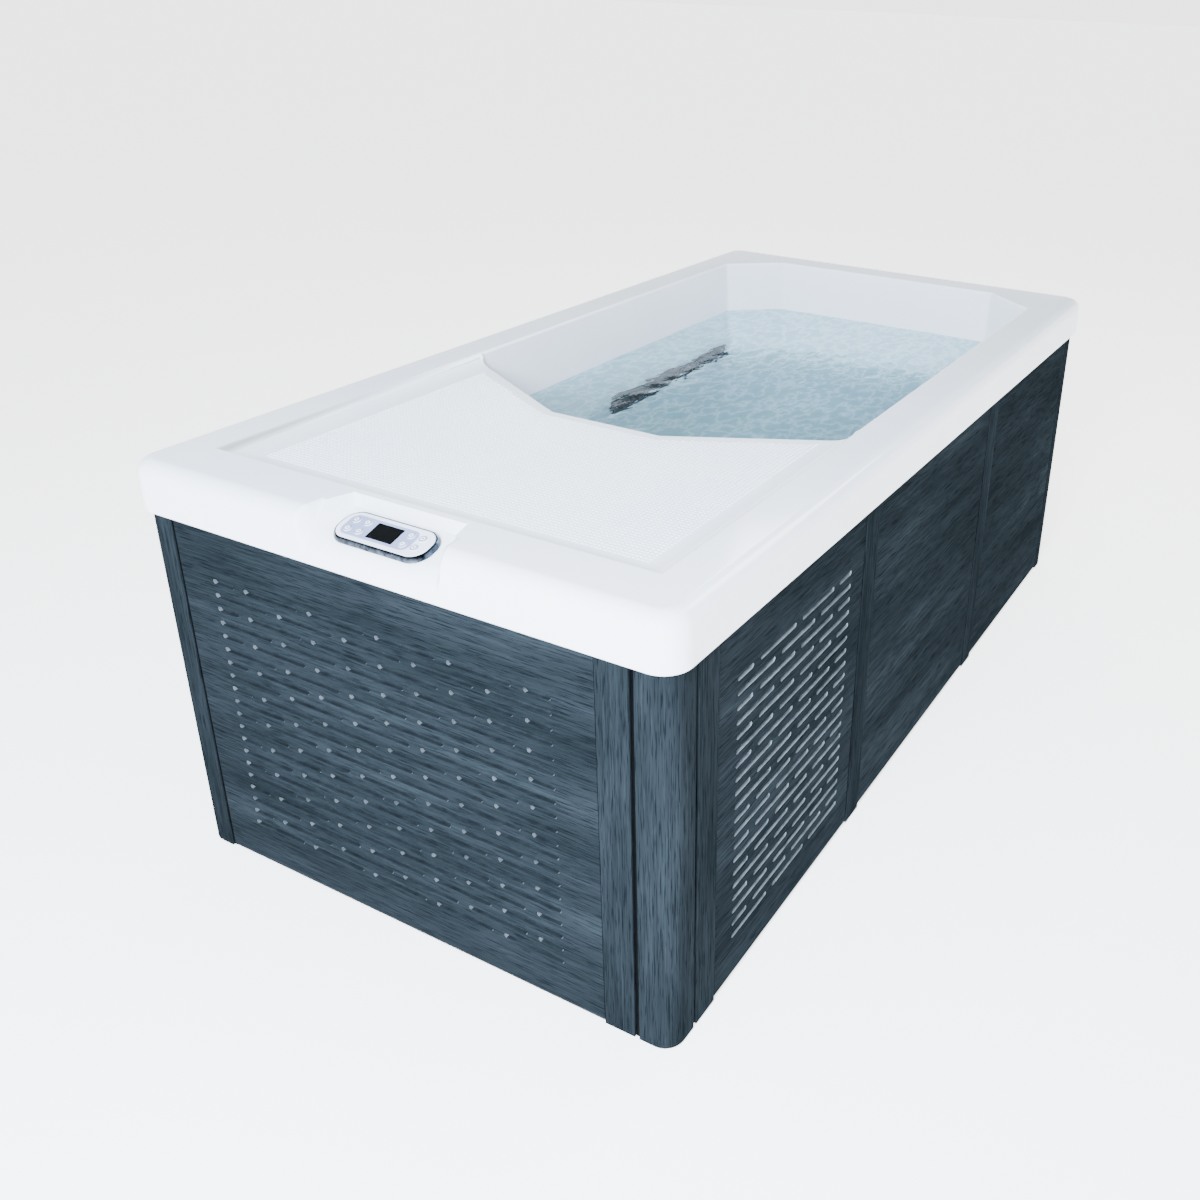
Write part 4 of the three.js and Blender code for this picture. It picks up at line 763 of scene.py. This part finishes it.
def grown_mesh(name, tree, values):
    """Runs a tree with the given values and gives back its result as a plain mesh."""
    seed = add_object(name + "_seed", bpy.data.meshes.new(name + "_seed"))
    modifier = seed.modifiers.new(name, "NODES")
    modifier.node_group = tree
    for item in tree.interface.items_tree:
        if item.in_out == "INPUT":
            modifier[item.identifier] = values[item.name]
    graph = bpy.context.evaluated_depsgraph_get()
    mesh = bpy.data.meshes.new_from_object(seed.evaluated_get(graph))
    mesh.name = name
    seed.modifiers.remove(modifier)
    bpy.data.objects.remove(seed)
    return mesh


print("helpers for repeated shapes ready")

# %% [markdown]
# The deck is a place to sit or step, so it has a grip of small raised squares, with a smooth strip left
# along the well and round the cove. It starts as a grid of points. The ones in the strip are removed, and
# each of the others gets a small block with sloping sides. The real squares are about five millimetres
# apart. They are drawn a little coarser, so that they show in the picture.

# %% Grip squares on the deck
TREAD_PITCH = 8 * MM
TREAD_SQUARE = 5.6 * MM
# From a square's middle to its corners, at the foot and at the crown, as shares of its side
TREAD_FOOT = 0.7071
TREAD_CROWN = 0.5
TREAD_RISE = 1.1 * MM
TREAD_STRIP = 25 * MM
TREAD_MARGIN = 8 * MM


def clear_of_well(tree):
    """How far each point of the deck lies from the well's front edge and its chamfers."""
    place = axes(tree, "InputPosition")
    chamfer = FRONT_CHAMFER.normalized()
    ahead = arithmetic(tree, "SUBTRACT", WELL_FRONT, place[1])
    across = arithmetic(tree, "SUBTRACT", arithmetic(tree, "ABSOLUTE", place[0]), WELL_HALF - FRONT_CHAMFER.x)
    slant = arithmetic(tree, "ADD", arithmetic(tree, "MULTIPLY", across, chamfer.y),
                       arithmetic(tree, "MULTIPLY", ahead, chamfer.x))
    return arithmetic(tree, "MAXIMUM", ahead, slant)


def tread_tree():
    tree, given = new_tree("deck_grip_squares", Float=["Width", "Length", "Square", "Rise", "Strip"],
                           Int=["Columns", "Rows"], Vector=["Middle"], Material=["Finish"])
    grid = placed_grid(tree, given["Width"], given["Length"], given["Columns"], given["Rows"],
                       given["Middle"])
    near = node(tree, "FunctionNodeCompare", {0: clear_of_well(tree), 1: given["Strip"]},
                operation="LESS_THAN")
    kept = grow(tree, "DeleteGeometry", {"Geometry": grid, "Selection": near.outputs[0]})
    foot = arithmetic(tree, "MULTIPLY", given["Square"], TREAD_FOOT)
    crown = arithmetic(tree, "MULTIPLY", given["Square"], TREAD_CROWN)
    square = grow(tree, "MeshCone", {
        "Vertices": 4, "Radius Top": crown, "Radius Bottom": foot, "Depth": given["Rise"]})
    turned = grow(tree, "Transform", {"Geometry": square, "Rotation": (0, 0, math.pi / 4)})
    node(tree, "NodeGroupOutput", {0: paint(tree, on_points(tree, kept, turned), given["Finish"])})
    return tree


def make_tread():
    half = WELL_HALF - DECK_COVE - TREAD_MARGIN
    front = DECK_FRONT + DECK_COVE + TREAD_MARGIN
    rear = WELL_SIDE_FRONT - TREAD_STRIP
    columns = int(2 * half / TREAD_PITCH) + 1
    rows = int((rear - front) / TREAD_PITCH) + 1
    mesh = grown_mesh("deck_grip", tread_tree(), {
        "Width": (columns - 1) * TREAD_PITCH, "Length": (rows - 1) * TREAD_PITCH,
        "Columns": columns, "Rows": rows, "Middle": (0, front + (rows - 1) * TREAD_PITCH / 2, DECK),
        "Square": TREAD_SQUARE, "Rise": TREAD_RISE, "Strip": TREAD_STRIP, "Finish": acrylic})
    return add_piece(mesh, "tub", "white_acrylic")


tread = make_tread()
print("grip faces:", len(tread.data.polygons))

# %% [markdown]
# Two of the skirt boards are vents: rows of long slots, each row moved by half a slot like brickwork, and
# the moved rows end in half slots. The slots are routed through the skin, so their walls show the pale
# core. The slots are outlines on three grids of points, and filling the board's own outline together with
# them leaves the holes. Extruding that gives the walls as a selection of their own.
# A thin liner lies behind each field. On the end board the long walls of the slots and the liner are painted
# slate as shade, and the round ends a mid grey as painted light. On the side board the walls show the pale
# core all along, and the liner is the core painted darker as shade.

# %% Slotted boards
SLOT_LENGTH = 118 * MM
SLOT_GAP = 21.5 * MM
SLOT_HEIGHT = 8.5 * MM
ROW_PITCH = 25.4 * MM
VENT_BOTTOM = 92 * MM
VENT_ROWS = 20
HALF_SLOT = (SLOT_LENGTH - SLOT_GAP) / 2
LINER_GAP = 0.2 * MM
BOARD_WELD = 0.00001
# A slot's corner radius as a share of its height, just short of a half, so that its ends are round
ROUND_END = 0.499
# How far a slot's wall turns towards the end of the board before it counts as a round end
ENDWISE = 0.12


def slot_outline(tree, length, height):
    plain = grow(tree, "CurvePrimitiveQuadrilateral", {"Width": length, "Height": height})
    radius = arithmetic(tree, "MULTIPLY", height, ROUND_END)
    return grow(tree, "FilletCurve", {"Curve": plain, "Radius": radius, "Count": 5}, mode="POLY")


def slot_field(tree, outline, columns, width, rows, height, middle):
    return on_points(tree, placed_grid(tree, width, height, columns, rows, middle), outline)


def slotted_skin(tree, given):
    """The board's own outline, filled together with the outlines of its slots."""
    whole = slot_outline(tree, given["Slot length"], given["Slot height"])
    half = slot_outline(tree, given["Half slot"], given["Slot height"])
    rows, rise, moved = given["Rows"], given["Rise"], given["Moved middle"]
    main = slot_field(tree, whole, given["Columns"], given["Width"], rows, rise, given["Middle"])
    between = slot_field(tree, whole, given["Moved columns"], given["Moved width"], rows, rise, moved)
    ending = slot_field(tree, half, 2, given["End width"], rows, rise, moved)
    board = grow(tree, "CurvePrimitiveQuadrilateral", {"Width": given["Length"], "Height": given["Height"]})
    outlines = joined(tree, board, main, between, ending)
    face = grow(tree, "FillCurve", {"Curve": outlines}, mode="TRIANGLES")
    return paint(tree, face, given["Skin"])


def routed_walls(tree, given, skin):
    """Gives the skin its thickness, and the slots the finish of their long walls and round ends."""
    thick = node(tree, "GeometryNodeExtrudeMesh", {
        "Mesh": skin, "Offset Scale": given["Thickness"], "Individual": False})
    from_middle = arithmetic(tree, "ABSOLUTE", axes(tree, "InputPosition")[0])
    facing = arithmetic(tree, "ABSOLUTE", axes(tree, "InputNormal")[0])
    field_half = arithmetic(tree, "MULTIPLY", given["Field width"], 0.5)
    in_field = arithmetic(tree, "LESS_THAN", from_middle, field_half)
    slot_wall = arithmetic(tree, "MULTIPLY", thick.outputs["Side"], in_field)
    slot_end = arithmetic(tree, "MULTIPLY", slot_wall, arithmetic(tree, "GREATER_THAN", facing, ENDWISE))
    walls = paint(tree, thick.outputs["Mesh"], given["Long walls"], slot_wall)
    return paint(tree, walls, given["Slot ends"], slot_end)


def slot_liner(tree, given):
    sheet = placed_grid(tree, given["Field width"], given["Field height"], 2, 2, given["Field"])
    return paint(tree, sheet, given["Liner"])


def slotted_tree():
    tree, given = new_tree(
        "slotted_board",
        Float=["Length", "Height", "Thickness", "Slot length", "Half slot", "Slot height", "Width",
               "Moved width", "End width", "Rise", "Field width", "Field height"],
        Int=["Columns", "Moved columns", "Rows"], Vector=["Middle", "Moved middle", "Field"],
        Material=["Skin", "Long walls", "Slot ends", "Liner"])
    skin = slotted_skin(tree, given)
    back = grow(tree, "FlipFaces", {0: skin})
    whole = joined(tree, routed_walls(tree, given, skin), back, slot_liner(tree, given))
    welded = grow(tree, "MergeByDistance", {"Geometry": whole, "Distance": BOARD_WELD})
    node(tree, "NodeGroupOutput", {0: welded})
    return tree


def make_slotted_board(tree, node_name, columns, turn, skin, long_walls, slot_ends, liner):
    low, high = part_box(node_name)
    size = high - low
    length, thickness = max(size.x, size.y), min(size.x, size.y)
    pitch = SLOT_LENGTH + SLOT_GAP
    drop = VENT_BOTTOM + (VENT_ROWS - 1) * ROW_PITCH / 2 - (low.z + high.z) / 2
    mesh = grown_mesh(node_name + "_slotted", tree, {
        "Length": length, "Height": size.z, "Thickness": thickness, "Slot length": SLOT_LENGTH,
        "Half slot": HALF_SLOT, "Slot height": SLOT_HEIGHT, "Columns": columns, "Moved columns": columns - 1,
        "Rows": VENT_ROWS // 2, "Width": (columns - 1) * pitch, "Moved width": (columns - 2) * pitch,
        "End width": columns * pitch - SLOT_GAP - HALF_SLOT, "Rise": (VENT_ROWS - 2) * ROW_PITCH,
        "Middle": (0, drop - ROW_PITCH / 2, 0), "Moved middle": (0, drop + ROW_PITCH / 2, 0),
        "Field width": columns * pitch + SLOT_GAP, "Field height": VENT_ROWS * ROW_PITCH,
        "Field": (0, drop, -LINER_GAP), "Skin": skin, "Long walls": long_walls, "Slot ends": slot_ends,
        "Liner": liner})
    upright = Matrix.Rotation(turn, 4, "Z") @ Matrix.Rotation(math.pi / 2, 4, "X")
    middle = (low + high) / 2
    back = upright @ Vector((0, 0, -thickness / 2))
    mesh.transform(Matrix.Translation(middle + back) @ upright)
    return add_piece(mesh, "tub", "woodgrain_skirt", node_name)


board_tree = slotted_tree()
# End board: painted shade on slot walls and liner, painted light at slot ends. Side board: pale core walls,
# liner of core with painted shade.
front_vent = make_slotted_board(board_tree, "front_panel", 5, 0, grain_x, slot_shade, slot_end_light, slot_shade)
side_vent = make_slotted_board(board_tree, "right_front_panel", 3, math.pi / 2, grain_y, board_core,
                               board_core, shaded_core)
print("vent faces:", len(front_vent.data.polygons), len(side_vent.data.polygons))

# %% [markdown]
# The other boards, the stiles and the corner posts have their true shape already. They need the edge that
# a sawn and wrapped board has, about a millimetre round, and grain that runs their own way.

# %% Boards, stiles and posts
BOARD_ROUNDING_MM = 1.2
LIP_DEPTH = 3 * MM
POST_WIDTH = 61 * MM
post_low, post_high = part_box("front_right_post")


def shade_lips(post):
    """The lip behind each groove is painted near black, as the shade that falls in the groove."""
    post.data.materials.append(groove_shade)
    for face in post.data.polygons:
        depths = (post_high.x - abs(face.center.x), -post_low.y - abs(face.center.y))
        if min(depths) > LIP_DEPTH and max(depths) > POST_WIDTH:
            face.material_index = 1


skirt = {}
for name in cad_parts:
    if name.endswith(("_stile", "_post")):
        skirt[name] = softened(name, grain_z, "woodgrain_skirt", BOARD_ROUNDING_MM)
    elif name.endswith("_panel") and name not in ("front_panel", "right_front_panel"):
        grain = grain_x if name == "rear_panel" else grain_y
        skirt[name] = softened(name, grain, "woodgrain_skirt", BOARD_ROUNDING_MM)
    # Each post takes painted shade on the lips in its grooves
    if name.endswith("_post"):
        shade_lips(skirt[name])
print("skirt pieces:", len(skirt))

# %% [markdown]
# The machine bay shows only as glints through the slots, and the drain and nozzle only through the water,
# but each piece still has its own finish and softened edges, so that it can be looked at with the skirt off.

# %% Machinery, frame and fittings
OUTWARD = 0.9
# Each finish, its slot, and the pieces that have it, with the rounding of their edges in millimetres
INNER_FINISHES = [
    (galvanised, "galvanised_steel", {"steel_frame": 2.0, "fan_shroud": 1.0}),
    (pan_plastic, "base_plastic", {"base_pan": 2.0, "power_gland": 0.8}),
    (foam_block, "support_foam", {"well_cradle": 4.0}),
    (slate_plastic, "slate_plastic",
     {"suction_grille": 1.2, "suction_box": 1.0, "filter_housing": 1.5, "filter_cap": 1.5}),
    (white_abs, "white_plastic", {"return_fitting": 1.0, "control_box": 4.0}),
    (chrome, "chrome_trim", {"floor_drain": 0.8}),
    (fin_stock, "aluminium_fins", {"condenser_coil": 0.5}),
    (black_paint, "black_paint", {"fan_motor": 3.0, "compressor": 2.0, "circulation_pump": 2.0}),
    (copper, "copper_tube", {"discharge_line": 0.8, "suction_line": 0.8, "liquid_line": 0.8}),
    (filter_paper, "pleated_paper", {"filter_cartridge": 1.0}),
    (pipe_pvc, "pale_pvc", {"heat_exchanger": 1.5, "suction_pipe": 1.0, "filter_pipe": 1.0,
                            "chiller_pipe": 1.0, "return_pipe": 1.0, "drain_valve": 1.0}),
]


def shade_outer_faces(piece):
    """The outer faces of the frame are painted near black, as the shade seen in the grooves between the
    boards.
    """
    piece.data.materials.append(groove_shade)
    for face in piece.data.polygons:
        endwise = math.copysign(face.normal.y, face.normal.y * face.center.y)
        sideways = math.copysign(face.normal.x, face.normal.x * face.center.x)
        if max(endwise, sideways) > OUTWARD:
            face.material_index = 1


inner = {}
for material, slot, roundings in INNER_FINISHES:
    for name, rounding in roundings.items():
        inner[name] = softened(name, material, slot, rounding)
# The frame's outer faces take painted shade
shade_outer_faces(inner["steel_frame"])
inner["fan_rotor"] = softened("fan_rotor", slate_plastic, "slate_plastic", 0.6, body="fan")
inner["drain_valve_lever"] = softened("drain_valve_lever", red_grip, "red_plastic", 1.5, body="lever")
print("inner pieces:", len(inner))

# %% [markdown]
# The control panel lies on the sloping floor of the notch. Its pieces are easiest to shape flat, about
# their own middle, and then laid on the slope by one matrix. The chrome bezel is a rolled ring: a section
# swept round a long rounded outline.

# %% Control panel
BEZEL_HALF = Vector((91 * MM, 34 * MM))
BEZEL_CORNER = 30 * MM
panel_y = -HALF_LENGTH + NOTCH_DEPTH / 2
PANEL_FRAME = Matrix.Translation((0, panel_y, notch_floor(panel_y))) @ Matrix.Rotation(NOTCH_TILT, 4, "X")
PANEL_ARC_STEPS = 10


def panel_ring(inset):
    corners = rectangle(BEZEL_HALF.x - inset, BEZEL_HALF.y - inset)
    return rounded_ring(corners, BEZEL_CORNER - inset, PANEL_ARC_STEPS)


def close_stack(work, rings):
    """Joins a stack of rings, closes it at both ends and lays it on the panel's slope."""
    for lower, upper in zip(rings, rings[1:]):
        bridge(work, lower, upper)
    work.faces.new(rings[0][::-1])
    work.faces.new(rings[-1])
    bmesh.ops.recalc_face_normals(work, faces=work.faces)
    bmesh.ops.transform(work, matrix=PANEL_FRAME, verts=work.verts)


def stacked(name, levels, material):
    """A moulding from a stack of panel outlines."""
    work = bmesh.new()
    rings = [add_level(work, panel_ring(inset * MM), height * MM) for inset, height in levels]
    close_stack(work, rings)
    return finish_mesh(name, work, material)


# Each level is an inset from the bezel's outline and a height above the notch floor, in millimetres
BEZEL_LEVELS = [(16, -19.7), (16, 0.2), (0.6, 0.3), (0.1, 0.8), (0, 1.6), (0.4, 3.4), (1.3, 5.4), (2.5, 7.4),
                (3.6, 8.7), (4.5, 9.2), (5.1, 9.1), (5.4, 8.7), (5.5, 6.8), (7, 6.7)]
FACE_TOP_MM = 9.4
FACE_LEVELS = [(6.4, 7.0), (5.7, 7.3), (5.7, 8.9), (5.9, 9.2), (6.5, FACE_TOP_MM), (9, FACE_TOP_MM)]
bezel = add_piece(stacked("control_bezel_rolled", BEZEL_LEVELS, smoked_chrome),
                  "tub", "chrome_trim", "control_bezel")
panel_face = add_piece(stacked("control_face_moulded", FACE_LEVELS, white_abs),
                       "tub", "white_plastic", "control_face")
print("bezel and face polygons:", len(bezel.data.polygons), len(panel_face.data.polygons))

# %% [markdown]
# A printed film covers the left group of keys, the display and half of the right group. The film is one
# outline with rounded corners, thin enough to lie in the face's surface.

# %% Film and display
FILM_LEFT = -76 * MM
FILM_RIGHT = 55 * MM
FILM_REACH = 21.5 * MM
FILM_CORNER = 13 * MM
FILM_FOOT_MM = 8.9
FILM_RISE_MM = 0.12
FILM_EDGE_MM = 0.1
DISPLAY_HALF = Vector((25 * MM, 16.5 * MM))
DISPLAY_CORNER = 1.2 * MM
DISPLAY_FOOT_MM = 7.1
DISPLAY_RISE_MM = 0.45
DISPLAY_EDGE_MM = 0.25
PLATE_ARC_STEPS = 6


def thin_plate(name, corners, radius, low_mm, high_mm, edge_mm, material):
    """A flat plate on the panel with a rounded outline and a softened upper edge."""
    work = bmesh.new()
    rings = []
    outline = rounded_ring(corners, radius, PLATE_ARC_STEPS)
    middle = sum(corners, Vector((0, 0))) / len(corners)
    for inset_mm, height in ((0, low_mm), (0, high_mm - edge_mm), (edge_mm * 0.3, high_mm - edge_mm * 0.3),
                             (edge_mm, high_mm), (edge_mm * 3, high_mm)):
        ring = [p - (p - middle).normalized() * inset_mm * MM for p in outline]
        rings.append(add_level(work, ring, height * MM))
    close_stack(work, rings)
    return finish_mesh(name, work, material)


film_outline = [Vector(place) for place in ((FILM_LEFT, -FILM_REACH), (FILM_RIGHT, -FILM_REACH),
                                            (FILM_RIGHT, FILM_REACH), (FILM_LEFT, FILM_REACH))]
film_mesh = thin_plate("key_film", film_outline, FILM_CORNER, FILM_FOOT_MM,
                       FACE_TOP_MM + FILM_RISE_MM, FILM_EDGE_MM, key_film)
film = add_piece(film_mesh, "tub", "button_plastic")
display_outline = rectangle(DISPLAY_HALF.x, DISPLAY_HALF.y)
window_mesh = thin_plate("control_display_window", display_outline, DISPLAY_CORNER, DISPLAY_FOOT_MM,
                         FACE_TOP_MM + DISPLAY_RISE_MM, DISPLAY_EDGE_MM, display_glass)
window = add_piece(window_mesh, "tub", "black_glass", "control_display")
print("film and display:", film.name, window.name)

# %% [markdown]
# Each key is a turned button with a soft dome, which travels less than a millimetre and stands just clear
# of the film when it is pressed home. Its mark is only a plain ring and a dot, because the marks on a real
# panel belong to its maker. Key and mark are one piece for each key, riding on that key's own body.

# %% Keys
KEY_SIDES = 32
KEY_COLUMNS_MM = (42, 64)
KEY_ROW_MM = 10
# Radius and height along the key's section, from under its hidden flange to the top of its dome
KEY_SECTION = [(0.01, 5.0), (8.0, 5.0), (8.0, 6.55), (6.5, 6.6), (6.5, 10.4), (6.35, 10.75), (6.0, 10.95),
               (5.2, 11.1), (4.9, 11.12), (4.85, 11.16), (3.95, 11.22), (3.9, 11.18), (1.5, 11.2),
               (1.45, 11.26), (0.01, 11.27)]
# The bands of that section that are printed, besides the very top
MARKED_BANDS = (5, 6, 9, 10, 13)


def make_key(number, x_mm, y_mm):
    work = bmesh.new()
    rings = []
    angles = [2 * math.pi * i / KEY_SIDES for i in range(KEY_SIDES)]
    for radius, height in KEY_SECTION:
        ring = [((x_mm + radius * math.cos(angle)) * MM, (y_mm + radius * math.sin(angle)) * MM, height * MM)
                for angle in angles]
        rings.append(add_ring(work, ring))
    close_stack(work, rings)
    for i, face in enumerate(work.faces):
        if i // KEY_SIDES in MARKED_BANDS or i == len(work.faces) - 1:
            face.material_index = 1
    mesh = finish_mesh(f"key_{number}", work, key_plastic, key_mark)
    return add_piece(mesh, f"press_{number}", "button_plastic", f"button_{number}")


key_places = [(side * column, row * KEY_ROW_MM)
              for side in (-1, 1) for column in KEY_COLUMNS_MM for row in (1, -1)]
keys = [make_key(number, x, y) for number, (x, y) in enumerate(key_places, start=1)]
print("keys:", [key.name for key in keys])

# %% [markdown]
# The water fills the well to about a hand below the rim. Its sides are carried a little way into the shell,
# so that no film of air is left between water and wall to mirror the light. Only the top is seen: a fine
# grid, trimmed to the well, with swells of three sizes crossing it from the return jet.

# %% Water
WATER_LEVEL = 630 * MM
WATER_PITCH = 7 * MM
WATER_OVERLAP = 3 * MM
COVE_CUTS = 4
# Length and rise of each swell, how much longer it is along the tub, and what keeps the three unlike
SWELLS_MM = ((170, 1.8), (70, 1.1), (26, 0.7))
SWELL_STRETCH = 1.4
SWELL_APART = 11.0


def swell(x, y):
    height = 0.0
    for number, (length, rise) in enumerate(SWELLS_MM):
        place = Vector((x / (length * MM), y / (length * SWELL_STRETCH * MM), SWELL_APART * number))
        height += noise.noise(place) * rise * MM
    return height


def water_top(outline):
    columns = int(2 * WELL_HALF / WATER_PITCH) + 2
    rows = int(WELL_LENGTH / WATER_PITCH) + 2
    middle = (WELL_FRONT + WELL_REAR) / 2
    work = bmesh.new()
    place = Matrix.Translation((0, middle, WATER_LEVEL))
    bmesh.ops.create_grid(work, x_segments=columns, y_segments=rows, size=1.0,
                          matrix=place @ Matrix.Diagonal((WELL_HALF, WELL_LENGTH / 2, 1, 1)))
    for i, corner in enumerate(outline):
        ahead = outline[(i + 1) % len(outline)] - corner
        bmesh.ops.bisect_plane(work, geom=work.verts[:] + work.edges[:] + work.faces[:],
                               plane_co=(corner.x, corner.y, 0), plane_no=(ahead.y, -ahead.x, 0),
                               clear_outer=True)
    return work


def water_levels():
    """Outline inset and height of each level below the top: down the wall, then round the cove."""
    wall = (RIM - WELL_FLOOR - FLOOR_COVE) * DRAFT_SLOPE
    reach = FLOOR_COVE + WATER_OVERLAP
    return [(wall + FLOOR_COVE - reach * math.cos(angle), WELL_FLOOR + FLOOR_COVE - reach * math.sin(angle))
            for angle in quarter_turn(COVE_CUTS)]


def carried(place, outline, ahead):
    """The point of the outline ahead that answers to a point on this one."""
    best = None
    for i, corner in enumerate(outline):
        side = outline[(i + 1) % len(outline)] - corner
        share = min(1.0, max(0.0, (place - corner).dot(side) / side.length_squared))
        gap = (corner + side * share - place).length
        if best is None or gap < best[0]:
            best = (gap, ahead[i].lerp(ahead[(i + 1) % len(ahead)], share))
    return best[1]


def make_water():
    outline = well_corners((RIM - WATER_LEVEL) * DRAFT_SLOPE - WATER_OVERLAP)
    work = water_top(outline)
    edges = [edge for edge in work.edges if edge.is_boundary]
    for vert in work.verts:
        vert.co.z += swell(vert.co.x, vert.co.y)
    for inset, height in water_levels():
        ahead = well_corners(inset)
        made = bmesh.ops.extrude_edge_only(work, edges=edges)["geom"]
        edges = [item for item in made if isinstance(item, bmesh.types.BMEdge)]
        for item in made:
            if isinstance(item, bmesh.types.BMVert):
                item.co = Vector((*carried(item.co.xy, outline, ahead), height))
        outline = ahead
    bmesh.ops.holes_fill(work, edges=edges, sides=0)
    bmesh.ops.recalc_face_normals(work, faces=work.faces)
    body = add_piece(finish_mesh("water", work, water), "tub", "white_acrylic")
    body.visible_shadow = False
    return body


pool = make_water()
print("water faces:", len(pool.data.polygons))

# %% [markdown]
# The studio is a white floor that runs to the horizon. The sky over it is white low down and overhead, with
# a greyer band between: gloss, chrome and water need something dark as well as something light to reflect.
# A soft light stands near the camera and a weaker one hangs overhead. Two windows high behind the far end
# are the lights that the gloss may mirror: one draws a bright line along the cove, and the other glints in
# the water.

# %% Floor and light
FLOOR_REACH = 60
FLOOR_GLOW = 2.5
FLOOR_MOTTLE_MM = (900, 900, 900)
SKY_STRENGTH = 3.1


def make_floor():
    material, tree, shader = new_material("pale_studio_floor", specular=0.1, Roughness=0.9,
                                          **{"Emission Strength": FLOOR_GLOW})
    mottle = pattern(tree, FLOOR_MOTTLE_MM)
    tree.links.new(ramp(tree, mottle, (0.3, "#fafafa"), (0.7, "#fdfdfd")), shader.inputs["Base Color"])
    work = bmesh.new()
    bmesh.ops.create_grid(work, x_segments=4, y_segments=4, size=FLOOR_REACH)
    floor = add_object("studio_floor", finish_mesh("studio_floor", work, material))


def add_light(name, place, target, size, watts, colour, mirrored=False):
    lamp = bpy.data.lights.new(name, "AREA")
    lamp.color = linear(colour)[:3]
    lamp.shape = "RECTANGLE"
    lamp.size, lamp.size_y = size
    lamp.energy = watts
    light = add_object(name, lamp)
    light.location = place
    light.rotation_mode = "QUATERNION"
    light.rotation_quaternion = (Vector(target) - Vector(place)).to_track_quat("-Z", "Y")
    light.visible_glossy = mirrored
    light.visible_transmission = mirrored


def make_sky():
    world = bpy.data.worlds.new("white_studio")
    world.use_nodes = True
    tree = world.node_tree
    tree.nodes.clear()
    way = node(tree, "ShaderNodeTexCoord").outputs["Generated"]
    rise = node(tree, "ShaderNodeSeparateXYZ", {0: way}).outputs[2]
    tone = ramp(tree, rise, (0.0, "#ffffff"), (0.14, "#ffffff"), (0.24, "#5e656c"), (0.55, "#585f66"),
                (0.85, "#a0a4a7"))
    sky = node(tree, "ShaderNodeBackground", {"Color": tone, "Strength": SKY_STRENGTH})
    node(tree, "ShaderNodeOutputWorld", {"Surface": sky.outputs[0]})
    bpy.context.scene.world = world


make_floor()
make_sky()
add_light("camera_side_softbox", (0.9, -3.1, 2.1), (0, -0.6, 0.5), (1.1, 1.1), 470, "#e2ecff")
add_light("overhead_softbox", (0.0, -0.6, 3.2), (0, -0.2, 0.5), (2.0, 2.4), 40, "#f6f9ff")
add_light("rear_right_window", (1.5, 2.7, 3.2), (0, 0, 0.7), (1.3, 1.3), 70, "#ffffff", mirrored=True)
add_light("rear_left_window", (-1.4, 3.3, 3.2), (0, 0.2, 0.63), (0.6, 0.6), 18, "#ffffff", mirrored=True)
